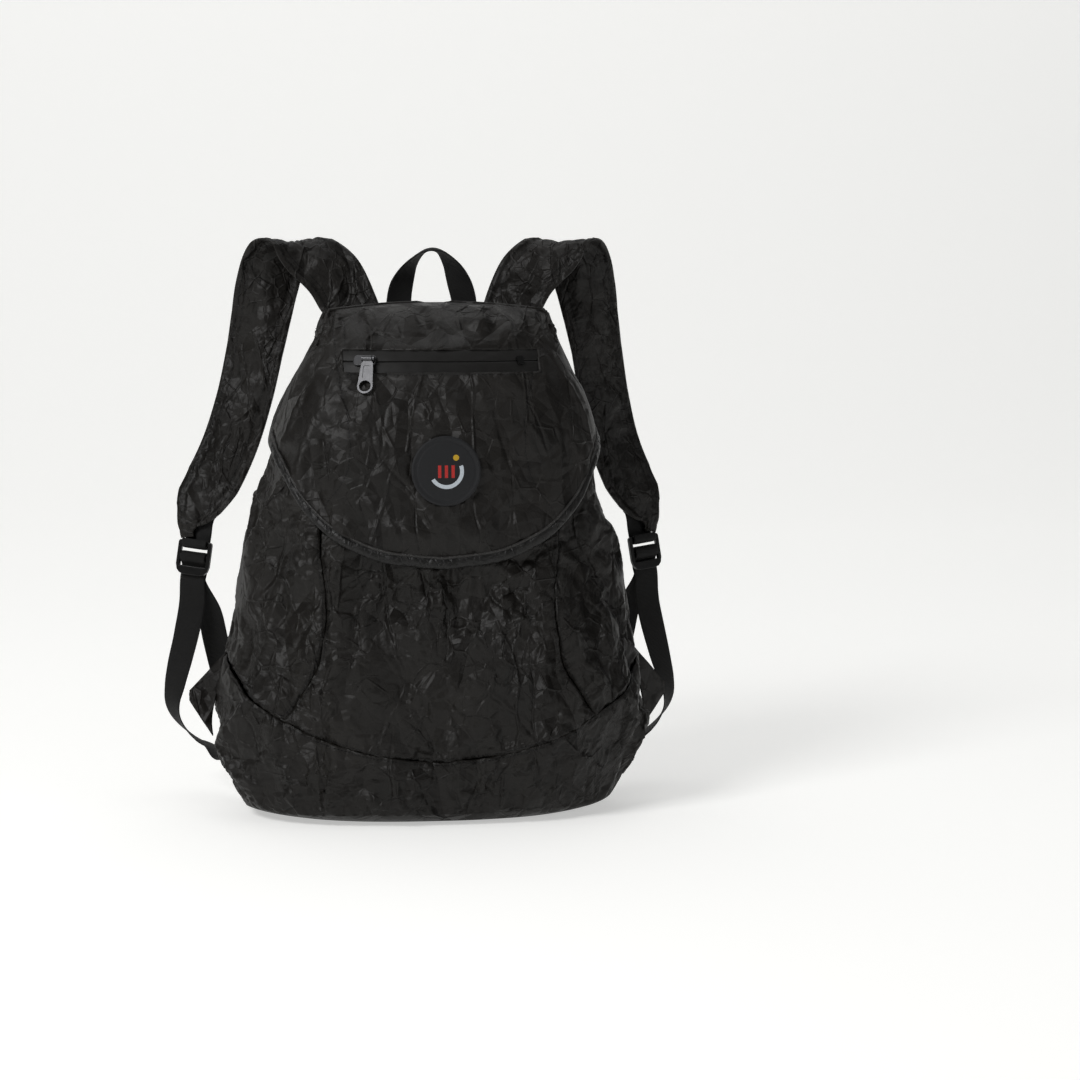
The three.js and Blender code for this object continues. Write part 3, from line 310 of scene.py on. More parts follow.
# For each point, its distance from the nearest seam line, negative on the line's left, and its place
# along that line.
def seamPlace(points, normals, lines):
    best = np.full(points.shape[:-1], 1e9)
    along = np.zeros(best.shape)
    side = np.ones(best.shape)
    for line in lines:
        steps = np.linalg.norm(np.diff(line, axis=0), axis=1)
        start = np.concatenate(([0], np.cumsum(steps)))
        for k in range(len(steps)):
            way = (line[k + 1] - line[k]) / max(steps[k], 1e-9)
            offset = points - line[k]
            t = np.clip(offset @ way, 0, steps[k])
            gap = offset - t[..., None] * way
            off = np.linalg.norm(gap, axis=-1)
            near = off < best
            best = np.where(near, off, best)
            along = np.where(near, start[k] + t, along)
            right = np.einsum("...i,...i", np.cross(way, normals), gap) >= 0
            side = np.where(near, np.where(right, 1.0, -1.0), side)
    return best, along, side


# A seam pulls the cloth in along its line and gathers it in short ripples beside it.
def pucker(distance, along, spec):
    groove = -spec["groove"] * np.exp(-(distance / spec["width"]) ** 2)
    ripple = noise(along / spec["wave"], along * 0 + 0.5, spec["seed"])
    ripple = ripple + 0.6 * noise(along / spec["wave"] * 2.3, distance / 9, spec["seed"] + 3)
    return groove + spec["ripple"] * ripple * np.exp(-distance / spec["fade"])


# Meshes

def makeObject(name, mesh, body, nodes, material):
    thing = bpy.data.objects.new(name, mesh)
    scene.collection.objects.link(thing)
    mesh.materials.append(material)
    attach(thing, body)
    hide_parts(*nodes)
    return thing


def toMetres(points):
    return (np.asarray(points, float) + np.array([0, place["y"], 0])) / 1000


# Four corners of each cell of a grid.
def cells(net):
    return np.stack([net[:-1, :-1], net[:-1, 1:], net[1:, 1:], net[1:, :-1]], -1)


# The grid with its first column again at the end, a step further on.
def closeRound(values, step=0.0):
    return np.concatenate([values, values[:, :1] + step], 1)


# Four-sided faces on a grid of points, its columns joined round if it wraps. maps are pairs of values
# on the grid, with one more column if it wraps. caps are points that close the first and last rows.
def gridMesh(name, points, maps, wrap=False, skip=None, caps=(None, None)):
    rows, columns = points.shape[:2]
    index = np.arange(rows * columns).reshape(rows, columns)
    if wrap:
        index = closeRound(index, 0)
    here = np.arange(rows * (columns + wrap)).reshape(rows, columns + wrap)
    faces, places = cells(index), cells(here)
    if skip is not None:
        faces, places = faces[~skip], places[~skip]
    faceList = faces.reshape(-1, 4).tolist()
    places = places.reshape(-1)
    vertices = points.reshape(-1, 3)
    for cap, row, turned in ((caps[0], 0, True), (caps[1], -1, False)):
        if cap is None:
            continue
        ring, ringPlace = index[row], here[row]
        if turned:
            ring, ringPlace = ring[::-1], ringPlace[::-1]
        tip = np.full(len(ring) - 1, len(vertices))
        vertices = np.concatenate([vertices, np.asarray(cap, float)[None]])
        faceList += np.stack([ring[:-1], ring[1:], tip], -1).tolist()
        corners = np.stack([ringPlace[:-1], ringPlace[1:], ringPlace[:-1]], -1)
        places = np.concatenate([places, corners.reshape(-1)])
    mesh = bpy.data.meshes.new(name)
    mesh.from_pydata(toMetres(vertices).tolist(), [], faceList)
    for mapName, (first, second) in maps.items():
        layer = mesh.uv_layers.new(name=mapName)
        pair = np.stack([first.reshape(-1)[places], second.reshape(-1)[places]], -1) / 1000
        layer.uv.foreach_set("vector", pair.astype(np.float32).ravel())
    mesh.shade_smooth()
    return mesh


def addWall(thing, thickness):
    wall = thing.modifiers.new("wall", "SOLIDIFY")
    wall.thickness = thickness / 1000
    wall.offset = -1
    return thing


# Materials

# Joins each socket to an output, or sets it to a constant.
def feed(tree, sockets, values):
    for name, value in values.items():
        if hasattr(value, "is_output"):
            tree.links.new(value, sockets[name])
        else:
            sockets[name].default_value = value


# A shader node with its settings and its inputs; what it puts out is returned.
def makeNode(tree, kind, values=None, **settings):
    node = tree.nodes.new("ShaderNode" + kind)
    for name, value in settings.items():
        setattr(node, name, value)
    feed(tree, node.inputs, values or {})
    return node.outputs


def calc(tree, kind, *values):
    return makeNode(tree, "Math", dict(enumerate(values)), operation=kind)[0]


def addUp(tree, first, *others):
    for value in others:
        first = calc(tree, "ADD", first, value)
    return first


def multiply(tree, first, *others):
    for value in others:
        first = calc(tree, "MULTIPLY", first, value)
    return first


def noiseNode(tree, where, scale, detail):
    return makeNode(tree, "TexNoise", {"Vector": where, "Scale": scale, "Detail": detail})


def mapParts(tree, name):
    return makeNode(tree, "SeparateXYZ", {0: makeNode(tree, "UVMap", uv_map=name)["UV"]})


# A node group: inputs are numbers with their defaults, outputs are numbers apart from a normal.
def newGroup(name, inputs, outputs):
    group = bpy.data.node_groups.new(name, "ShaderNodeTree")
    for inputName, value in inputs.items():
        made = group.interface.new_socket(name=inputName, in_out="INPUT", socket_type="NodeSocketFloat")
        made.default_value = value
    for outputName in outputs:
        kind = "NodeSocketVector" if outputName == "Normal" else "NodeSocketFloat"
        group.interface.new_socket(name=outputName, in_out="OUTPUT", socket_type=kind)
    return group, group.nodes.new("NodeGroupInput").outputs, group.nodes.new("NodeGroupOutput").inputs


# Share of the facet size, how far a cell leans the surface, slope of its hill, its net's turn and
# stretch.
clothCells = [
    (1.0, 0.5, 0.28, (0.3, 0.5, 0.9), (1, 1, 0.5)),
    (0.5, 0.26, 0.19, (0.9, -0.4, 0.2), (1, 0.55, 1)),
    (0.22, 0.05, 0.06, (0.1, 0.8, -0.5), (0.7, 1, 1)),
]
# Share of the facet size, the ridge's width and lift, its net's turn and stretch.
clothRidges = [
    (1.5, 0.024, 0.0014, (0.2, 1.1, 0.4), (1, 1, 0.4)),
    (1.1, 0.028, -0.001, (0.8, 0.1, 1.2), (1, 1, 0.45)),
    (0.6, 0.036, 0.0006, (-0.5, 0.6, 0.2), (1, 0.6, 1)),
]


# Thin raised lines along the borders of cells: a bell of the distance from the border, kept only
# where slow noise is high, so that each line fades in and out.
def ridgeLines(group, where, scale, width, shift):
    border = makeNode(group, "TexVoronoi", {"Vector": where, "Scale": scale}, feature="DISTANCE_TO_EDGE")
    near = multiply(group, border["Distance"], 1 / width)
    bell = calc(group, "EXPONENT", multiply(group, near, near, -1.0))
    shifted = makeNode(group, "VectorMath", {0: where, 1: (shift, 0.7, 0.3)})[0]
    above = calc(group, "SUBTRACT", noiseNode(group, shifted, 34, 1)["Fac"], 0.43)
    mask = makeNode(group, "Math", {0: above, 1: 7.0}, operation="MULTIPLY", use_clamp=True)[0]
    return multiply(group, bell, mask)


# Crushed nylon. Cells of three sizes, bent by noise and stretched, each lean the surface their own
# way, so that it breaks into flat facets with low slopes between, and thin ridges run along the
# borders of three more nets of cells. Small noise stands for the yarn, and slow noise for patches of
# tone.
def clothGroup():
    group, given, made = newGroup("crushedCloth", {"Facet size": 0.02, "Lean": 1.0, "Ridge": 1.0},
                                  ["Height", "Tone", "Normal"])
    where = makeNode(group, "TexCoord")["Object"]
    bend = {0: noiseNode(group, where, 16, 1)["Color"], 1: (0.015, 0.015, 0.015), 2: where}
    moved = makeNode(group, "VectorMath", bend, operation="MULTIPLY_ADD")[0]

    def laid(share, turned, stretch):
        lie = makeNode(group, "Mapping", {"Rotation": turned, "Scale": stretch, "Vector": moved})[0]
        return {"Vector": lie, "Scale": calc(group, "DIVIDE", 1 / share, given["Facet size"])}

    normal = makeNode(group, "NewGeometry")["Normal"]
    height = multiply(group, noiseNode(group, where, 900, 1)["Fac"], 0.00008)
    for share, lean, slope, turned, stretch in clothCells:
        net = laid(share, turned, stretch)
        colours = makeNode(group, "TexVoronoi", net)["Color"]
        centred = makeNode(group, "VectorMath", {0: colours, 1: (0.5, 0.5, 0.5)}, operation="SUBTRACT")[0]
        much = multiply(group, given["Lean"], lean)
        leaning = makeNode(group, "VectorMath", {0: centred, "Scale": much}, operation="SCALE")[0]
        normal = makeNode(group, "VectorMath", {0: normal, 1: leaning})[0]
        border = makeNode(group, "TexVoronoi", net, feature="DISTANCE_TO_EDGE")["Distance"]
        hill = multiply(group, border, given["Facet size"], share * slope, given["Lean"])
        height = addUp(group, height, hill)
    for share, width, lift, turned, stretch in clothRidges:
        net = laid(share, turned, stretch)
        lines = ridgeLines(group, net["Vector"], net["Scale"], width, share)
        height = addUp(group, height, multiply(group, lines, given["Ridge"], lift))
    feed(group, made, {
        "Normal": makeNode(group, "VectorMath", {0: normal}, operation="NORMALIZE")[0],
        "Height": height,
        "Tone": noiseNode(group, where, 14, 3)["Fac"],
    })
    return group


stitchLook = {"thread": 0.00045, "share": 0.68, "channel": 0.0012, "dip": -0.5, "lift": 0.3}


# A row of stitches beside a seam, from the seam map: dashes where the distance is near the row's and
# the place along the seam is in the thread's share of each stitch.
def stitchGroup():
    group, given, made = newGroup("stitchRow", {"Row": 0.0026, "Stitch": 0.0032}, ["Thread", "Height"])
    parts = mapParts(group, "seam")
    off = calc(group, "ABSOLUTE", calc(group, "SUBTRACT", parts["Y"], given["Row"]))
    step = calc(group, "FRACT", calc(group, "DIVIDE", parts["X"], given["Stitch"]))
    dash = calc(group, "LESS_THAN", step, stitchLook["share"])
    thread = multiply(group, calc(group, "LESS_THAN", off, stitchLook["thread"]), dash)
    dip = multiply(group, calc(group, "LESS_THAN", off, stitchLook["channel"]), stitchLook["dip"])
    feed(group, made, {"Thread": thread, "Height": addUp(group, dip, multiply(group, thread, stitchLook["lift"]))})
    return group


# Woven tape: ribs along its length and a fine twill across, from the piece's own map.
def webbingGroup():
    group, given, made = newGroup("wovenTape", {"Rib": 0.0012, "Pick": 0.0009}, ["Height"])
    parts = mapParts(group, "cloth")
    waves = []
    for axis, name in (("Y", "Rib"), ("X", "Pick")):
        turns = calc(group, "DIVIDE", parts[axis], given[name])
        waves.append(calc(group, "SINE", multiply(group, turns, 2 * math.pi)))
    rib, pick = waves
    feed(group, made, {"Height": addUp(group, multiply(group, rib, 0.35), multiply(group, rib, pick, 0.3),
                                       multiply(group, pick, 0.15))})
    return group


# Metres from the badge's middle, and the bowl's two ends as angles.
badgePrint = {"bowl": (0.0118, 0.0152), "bowlEnds": (-2.6, 0.35), "bars": (-0.0058, 0.0, 0.0058),
              "barHalf": 0.0014, "barEnds": (-0.0058, 0.005), "dot": (0.0085, 0.0115), "dotRadius": 0.0026}


# The badge's print, from its own map of places right and up: a pale bowl-shaped arc between two
# distances from the middle, three upright red bars and a round yellow dot above them.
def dialGroup():
    group, _, made = newGroup("dialPrint", {}, ["Bowl", "Bars", "Dot"])
    parts = mapParts(group, "cloth")
    x, z = parts["X"], parts["Y"]

    def within(value, low, high):
        return multiply(group, calc(group, "GREATER_THAN", value, low), calc(group, "LESS_THAN", value, high))

    def reach(right, up):
        beside, above = addUp(group, x, -right), addUp(group, z, -up)
        return calc(group, "SQRT", addUp(group, multiply(group, beside, beside), multiply(group, above, above)))

    half = badgePrint["barHalf"]
    bars = addUp(group, *[within(x, middle - half, middle + half) for middle in badgePrint["bars"]])
    bowl = within(reach(0.0, 0.0), *badgePrint["bowl"])
    feed(group, made, {
        "Bowl": multiply(group, bowl, within(calc(group, "ARCTAN2", z, x), *badgePrint["bowlEnds"])),
        "Bars": multiply(group, bars, within(z, *badgePrint["barEnds"])),
        "Dot": calc(group, "LESS_THAN", reach(*badgePrint["dot"]), badgePrint["dotRadius"]),
    })
    return group


groups = {"cloth": clothGroup(), "stitch": stitchGroup(), "webbing": webbingGroup(), "dial": dialGroup()}


def newMaterial(name):
    material = bpy.data.materials.new(name)
    material.use_nodes = True
    return material, material.node_tree, material.node_tree.nodes["Principled BSDF"].inputs


def placeGroup(tree, name, values=None):
    return makeNode(tree, "Group", values, node_tree=groups[name])


def mixColour(tree, factor, first, second):
    return makeNode(tree, "Mix", {0: factor, 6: first, 7: second}, data_type="RGBA")[2]


def mixValue(tree, factor, first, second):
    return makeNode(tree, "Mix", {0: factor, 2: first, 3: second})[0]


def bump(tree, height, distance, strength=1.0, **normal):
    return makeNode(tree, "Bump", {"Strength": strength, "Distance": distance, "Height": height, **normal})[0]


clothLook = {"dark": (0.0026, 0.0022, 0.0018, 1), "light": (0.0136, 0.0121, 0.0106, 1),
             "thread": (0.0012, 0.0011, 0.001, 1), "smooth": 0.42, "rough": 0.54, "specular": 0.22,
             "stitchDepth": 0.0012}


def clothMaterial(name, facet, lean=1.0, ridge=1.0):
    material, tree, shader = newMaterial(name)
    cloth = placeGroup(tree, "cloth", {"Facet size": facet, "Lean": lean, "Ridge": ridge})
    stitch = placeGroup(tree, "stitch")
    colour = mixColour(tree, cloth["Tone"], clothLook["dark"], clothLook["light"])
    height = addUp(tree, cloth["Height"], multiply(tree, stitch["Height"], clothLook["stitchDepth"]))
    feed(tree, shader, {
        "Base Color": mixColour(tree, stitch["Thread"], colour, clothLook["thread"]),
        "Roughness": mixValue(tree, cloth["Tone"], clothLook["smooth"], clothLook["rough"]),
        "Specular IOR Level": clothLook["specular"],
        "Normal": bump(tree, height, 1.0, Normal=cloth["Normal"]),
    })
    return material


# The cord's paler colour is a painted highlight where light catches its ridge; the tape itself is dark.
tapeLook = {"highlightFrom": 0.0094, "tape": (0.0045, 0.0042, 0.0039, 1), "cordHighlight": (0.022, 0.021, 0.02, 1)}


# The cloth's tape, with a painted highlight: the cord along its upper side is coloured paler where light catches
# it, told by its map's place up the roll.
def bindingMaterial():
    material, tree, shader = newMaterial("edgeTape")
    cloth = placeGroup(tree, "cloth", {"Facet size": 0.012, "Lean": 0.45, "Ridge": 0.3})
    # Painted highlight: the cord on the tape's upper side is coloured paler.
    cordHighlight = calc(tree, "GREATER_THAN", mapParts(tree, "cloth")["Y"], tapeLook["highlightFrom"])
    feed(tree, shader, {
        "Base Color": mixColour(tree, cordHighlight, tapeLook["tape"], tapeLook["cordHighlight"]),
        "Roughness": 0.45,
        "Specular IOR Level": 0.3,
        "Normal": bump(tree, cloth["Height"], 1.0, Normal=cloth["Normal"]),
    })
    return material


def webbingMaterial():
    material, tree, shader = newMaterial("webbing")
    feed(tree, shader, {
        "Base Color": (0.0022, 0.0021, 0.002, 1),
        "Roughness": 0.75,
        "Specular IOR Level": 0.3,
        "Normal": bump(tree, placeGroup(tree, "webbing")["Height"], 0.0003),
    })
    return material


# One colour, with slow noise in its roughness so that it doesn't shine evenly.
def plainMaterial(name, colour, roughness, metallic=0.0):
    material, tree, shader = newMaterial(name)
    patches = noiseNode(tree, makeNode(tree, "TexCoord")["Object"], 180, 3)["Fac"]
    feed(tree, shader, {
        "Base Color": colour,
        "Metallic": metallic,
        "Specular IOR Level": 0.25,
        "Roughness": mixValue(tree, patches, roughness * 0.8, roughness * 1.25),
        "Normal": bump(tree, patches, 0.0001, 0.4),
    })
    return material


badgeColours = {"rubber": (0.0125, 0.0128, 0.014, 1), "Bowl": (0.42, 0.46, 0.5, 1),
                "Bars": (0.36, 0.025, 0.022, 1), "Dot": (0.42, 0.26, 0.02, 1)}


def badgeMaterial():
    material, tree, shader = newMaterial("softRubber")
    dial = placeGroup(tree, "dial")
    colour, raised = badgeColours["rubber"], 0.0
    for name in ("Bowl", "Bars", "Dot"):
        colour = mixColour(tree, dial[name], colour, badgeColours[name])
        raised = addUp(tree, raised, dial[name])
    feed(tree, shader, {"Base Color": colour, "Roughness": 0.6, "Specular IOR Level": 0.2,
                        "Normal": bump(tree, raised, 0.0003)})
    return material


looks = {
    "cloth": clothMaterial("crushedNylon", facet=0.037),
    "lidCloth": clothMaterial("lidNylon", facet=0.036, lean=0.75, ridge=0.8),
    "strapCloth": clothMaterial("strapNylon", facet=0.022, lean=0.7, ridge=0.7),
    "binding": bindingMaterial(),
    "webbing": webbingMaterial(),
    "lining": plainMaterial("strapLining", (0.0015, 0.0015, 0.0015, 1), 0.7),
    "zipTape": plainMaterial("zipLaminate", (0.006, 0.0056, 0.0052, 1), 0.5),
    "plastic": plainMaterial("buckleNylon", (0.003, 0.003, 0.003, 1), 0.3),
    "gunmetal": plainMaterial("gunmetal", (0.07, 0.07, 0.073, 1), 0.34, 0.9),
    "badge": badgeMaterial(),
}
print("materials made")

# Cloth that settles

settling = []
clothSettings = {"quality": 4, "mass": 0.02, "tension_stiffness": 12, "compression_stiffness": 12,
                 "shear_stiffness": 4.8, "bending_stiffness": 0.02, "tension_damping": 2, "compression_damping": 2,
                 "shear_damping": 2, "bending_damping": 0.2, "vertex_group_mass": "held", "pin_stiffness": 1}
settle = {"frames": 24, "slowShare": 0.9, "passes": 110}


# Lists a piece for the one simulation below: the cloth grows against the vertices that hold it. net
# is its grid's rows and columns, and most is the furthest that it moves.
def settleLater(thing, held, net, growth, most, pressure):
    settling.append({"thing": thing, "held": held, "net": net, "growth": growth, "most": most,
                     "pressure": pressure})


# The move without its wrinkles: each point's share of its neighbours on the grid, many times.
def slowPart(move, net, passes):
    slow = move[:net[0] * net[1]].reshape(net[0], net[1], 3).copy()
    for _ in range(passes):
        slow = 0.5 * slow + 0.25 * (np.roll(slow, 1, 0) + np.roll(slow, -1, 0))
        slow = 0.5 * slow + 0.25 * (np.roll(slow, 1, 1) + np.roll(slow, -1, 1))
    return np.concatenate([slow.reshape(-1, 3), move[net[0] * net[1]:]])


def coordinates(mesh):
    values = np.empty(len(mesh.vertices) * 3, np.float32)
    mesh.vertices.foreach_get("co", values)
    return values.reshape(-1, 3).astype(float)


# Runs the listed cloths together, then keeps where they came to, moved no further than each one's
# limit, and takes the modifiers off again.
def settleAll(frames):
    for spec in settling:
        thing = spec["thing"]
        group = thing.vertex_groups.new(name="held")
        for weight in np.unique(spec["held"]):
            if weight > 0:
                group.add(np.nonzero(spec["held"] == weight)[0].tolist(), float(weight), "REPLACE")
        cloth = thing.modifiers.new("settle", "CLOTH")
        settings = cloth.settings
        for name, value in clothSettings.items():
            setattr(settings, name, value)
        settings.shrink_min = -spec["growth"]
        settings.effector_weights.gravity = 0
        settings.use_pressure = True
        settings.uniform_pressure_force = spec["pressure"]
        cloth.collision_settings.use_collision = False
        cloth.point_cache.frame_start, cloth.point_cache.frame_end = 1, frames
    for number in range(1, frames + 1):
        scene.frame_set(number)
    graph = bpy.context.evaluated_depsgraph_get()
    for spec in settling:
        thing = spec["thing"]
        before = coordinates(thing.data)
        after = coordinates(thing.evaluated_get(graph).data)
        move = after - before
        move = move - settle["slowShare"] * slowPart(move, spec["net"], settle["passes"])
        far = np.linalg.norm(move, axis=1, keepdims=True)
        most = spec["most"] / 1000
        move = move * (most * np.tanh(far / most) / np.maximum(far, 1e-9))
        spec["moved"] = float(np.percentile(far, 95) * 1000)
        thing.data.vertices.foreach_set("co", (before + move).astype(np.float32).ravel())
        thing.modifiers.remove(thing.modifiers["settle"])
        thing.vertex_groups.clear()
        thing.data.update()
    scene.frame_set(1)


# Bag panels

bodyCrumple = {"sizes": (58, 32, 17), "lifts": (7.0, 5.2, 2.8), "stretch": 1.5, "drag": 70, "seed": 11}
seamLook = {"groove": 0.8, "width": 2.2, "wave": 9, "ripple": 1.3, "fade": 11, "seed": 7}
panelSettle = {"growth": 0.048, "most": 8, "pressure": 0.3}
# Sharp pleats that run down from under the lid's middle
pleats = table(foldColumns, [
    [-7, 0.44, 96, 0.1, 0.012, 0.02],
    [-3.4, 0.45, 93, 0.12, 0.012, 0.026],
    [0, 0.455, 90, 0.13, 0.011, 0.024],
    [3.4, 0.45, 87, 0.12, 0.012, 0.026],
    [7.5, 0.44, 82, 0.11, 0.013, 0.022],
    [12, 0.45, 70, 0.11, 0.014, 0.02],
    [-12, 0.44, 112, 0.1, 0.014, 0.018],
])
panels = {
    "front_panel": {"object": "frontCloth", "rows": 170, "columns": 140, "crumple": bodyCrumple},
    "side_panel_left": {"object": "leftCloth", "rows": 140, "columns": 92,
                        "crumple": {**bodyCrumple, "seed": 31, "drag": 80}},
    "side_panel_right": {"object": "rightCloth", "rows": 140, "columns": 92,
                         "crumple": {**bodyCrumple, "seed": 47, "drag": 100}},
    "back_panel": {"object": "backCloth", "rows": 100, "columns": 96,
                   "crumple": {**bodyCrumple, "seed": 63, "lifts": (1.8, 1.2, 0.6)}},
}


# Folds, crumpling and seam puckers together, faded at the base and under the lid's edge.
def bagRelief(turn, height, points, normals, seams, spec):
    clear = 1 - ramp(lidEdge(turn) - 4, lidEdge(turn) + 22, height)
    distance, along = seamPlace(points, normals, seams)[:2]
    u, v = points[..., 0] + 0.8 * points[..., 1], points[..., 2]
    relief = foldHeight(bagFolds, turn, height) + foldHeight(pleats, turn, height)
    relief = relief + crumple(u, v, spec) * (0.3 + 0.7 * ramp(0, 26, distance))
    relief = relief + pucker(distance, along, seamLook)
    return relief * clear * ramp(0, 30, height), distance, along


def bottomEdge(turn):
    return bottomSeam(turn) + bag["seamGap"] / 2


def panelHeight(turn, share):
    return bottomEdge(turn) + (mouth(turn) - bottomEdge(turn)) * share


# Where a row of points meets a seam whose turn changes with height.
def seamTurn(seam, share):
    turn = seam(np.full(share.shape, bag["height"] / 2))
    for _ in range(14):
        turn = seam(panelHeight(turn, share))
    return turn


def upperPanel(node, leftSeam, rightSeam):
    spec = panels[node]
    share = np.linspace(0, 1, spec["rows"])[:, None]
    left, right = seamTurn(leftSeam, share), seamTurn(rightSeam, share)
    gap = bag["seamGap"] / bag["width"]
    turn = left + gap + (right - left - 2 * gap) * np.linspace(0, 1, spec["columns"])[None, :]
    height = panelHeight(turn, share)
    smooth, normals = hullPoint(bagSections, turn, height), hullNormal(bagSections, turn, height)
    edges = [smooth[0, ::6], smooth[::6, 0], smooth[::6, -1]]
    relief, distance, along = bagRelief(turn, height, smooth, normals, edges, spec["crumple"])
    points = smooth + normals * relief[..., None]
    maps = {"cloth": (turn * bag["width"] / 2, height), "seam": (along, distance)}
    mesh = gridMesh(spec["object"], points, maps)
    thing = makeObject(spec["object"], mesh, "bag", [node], looks["cloth"])
    under = height > lidEdge(turn) + 8
    held = np.zeros(turn.shape)
    held[0], held[:, 0], held[:, -1], held[-1] = 1, 1, 1, 1
    held[under] = 1
    settleLater(thing, held.ravel(), turn.shape, **panelSettle)
    return thing


def leftFront(height):
    return -frontSeam(height)


def fixedSeam(turn):
    return lambda height: np.full(np.shape(height), turn)


walled = [
    upperPanel("front_panel", leftFront, frontSeam),
    upperPanel("side_panel_left", fixedSeam(-backSeamTurn), leftFront),
    upperPanel("side_panel_right", frontSeam, fixedSeam(backSeamTurn)),
    upperPanel("back_panel", fixedSeam(backSeamTurn), fixedSeam(2 * math.pi - backSeamTurn)),
]

baseSettle = {**panelSettle, "growth": 0.05}
base = {"columns": 330, "rings": 12, "rows": 62, "standing": 12,
        "crumple": {**bodyCrumple, "seed": 83, "stretch": 1.7, "drag": 8}}


# Flat rings from the middle out to the base's edge, then the wall up to the curved seam.
def bottomPanel():
    turn = np.linspace(0, 2 * math.pi, base["columns"], endpoint=False)[None, :]
    top = bottomSeam(turn) - bag["seamGap"] / 2
    height = top * np.linspace(0, 1, base["rows"])[:, None] ** 1.5
    around = turn + 0 * height
    edge = hullPoint(bagSections, turn, 0 * turn)
    middle = np.array([bag["width"] * bagSections["lean"][0], 0, 0])
    share = np.linspace(0.06, 1, base["rings"])[:-1, None, None]
    flat = middle + (edge - middle) * share
    around = np.concatenate([turn + 0 * flat[..., 0], around])
    height = np.concatenate([0 * flat[..., 0], height])
    smooth = np.concatenate([flat, hullPoint(bagSections, around[len(flat):], height[len(flat):])])
    normals = hullNormal(bagSections, around, np.maximum(height, 0.01))
    seam = [np.concatenate([smooth[-1], smooth[-1, :1]])[::5]]
    distance, along = seamPlace(smooth, normals, seam)[:2]
    u, v = smooth[..., 0] + 0.8 * smooth[..., 1], smooth[..., 2]
    relief = crumple(u, v, base["crumple"]) * (0.3 + 0.7 * ramp(0, 26, distance))
    relief = relief + foldHeight(bagFolds, around, height)
    relief = (relief + pucker(distance, along, {**seamLook, "seed": 9})) * ramp(0, 34, height)
    points = smooth + normals * relief[..., None]
    girth = closeRound(around, 2 * math.pi) * bag["width"] / 2
    maps = {"cloth": (girth, closeRound(height)), "seam": (closeRound(along), closeRound(distance))}
    mesh = gridMesh("baseCloth", points, maps, wrap=True, caps=(middle, None))
    thing = makeObject("baseCloth", mesh, "bag", ["bottom_panel"], looks["cloth"])
    held = np.concatenate([(height < base["standing"]).ravel(), [True]]).astype(float)
    held[(len(points) - 1) * base["columns"]:len(points) * base["columns"]] = 1
    settleLater(thing, held, height.shape, **baseSettle)
    return thing


walled.append(bottomPanel())
print("bag panels made")

# Lid

lid = {"rows": 104, "crownRows": 6, "columns": 300, "window": (-86, 86), "level": 407, "windowHeight": 19,
       "binding": 11, "bound": 120, "windowRows": (60, 70), "follow": 5, "tucked": 9.5, "tuckEnds": (120, 135),
       "top": 0.995, "backFrom": (64, 92), "frontSpan": 72, "straightRise": (10, 34), "straightSpan": (58, 70),
       "seamPast": 26, "stitched": 118,
       "crumple": {"sizes": (40, 22, 11), "lifts": (2.2, 1.6, 0.9), "stretch": 1.4, "drag": 120, "seed": 101}}
windowLow, windowHigh = lid["level"] - lid["windowHeight"] / 2, lid["level"] + lid["windowHeight"] / 2
# The lid's two shaped seams: turn in degrees and height of each point
princess = [
    [(-56, 446), (-55, 439), (-48.6, 414), (-39.4, 384), (-33.3, 361), (-30.2, 335), (-30, 315), (-32, 300),
     (-36, 285), (-38, 270)],
    [(54, 446), (52.5, 438.6), (45, 413.8), (40.4, 396), (33.8, 375.5), (30, 352.6), (29.2, 327.6), (29.9, 310),
     (32.7, 294), (38.8, 270)],
]
lidPleats = table(foldColumns, [
    [-30, 0.565, 150, 0.05, 0.012, 0.013],
    [-20, 0.6, 142, 0.09, 0.013, 0.014],
    [-10, 0.61, 150, 0.08, 0.012, -0.012],
    [2, 0.6, 38, 0.08, 0.012, 0.013],
    [6, 0.585, 140, 0.07, 0.012, 0.012],
    [16, 0.6, 40, 0.08, 0.013, 0.013],
    [26, 0.63, 30, 0.07, 0.013, -0.013],
    [-40, 0.7, 100, 0.08, 0.013, 0.014],
    [42, 0.72, 80, 0.08, 0.013, 0.014],
    [-62, 0.8, 70, 0.08, 0.014, 0.016],
    [60, 0.8, 110, 0.08, 0.014, 0.016],
])


# Turn at which the lid's front wall reaches a place across the bag.
def lidTurnAt(across, height):
    across, height = np.broadcast_arrays(np.asarray(across, float), np.asarray(height, float))
    wide = bag["width"] / 2 * follow(lidSections, "up", "wide", height / bag["height"])
    turn = np.zeros(across.shape)
    for _ in range(40):
        turn = turn + 0.8 * (across - hullPoint(lidSections, turn, height)[..., 0]) / wide
    return turn


def lidMiddle(height):
    return bag["width"] * float(follow(lidSections, "up", "lean", height / bag["height"]))


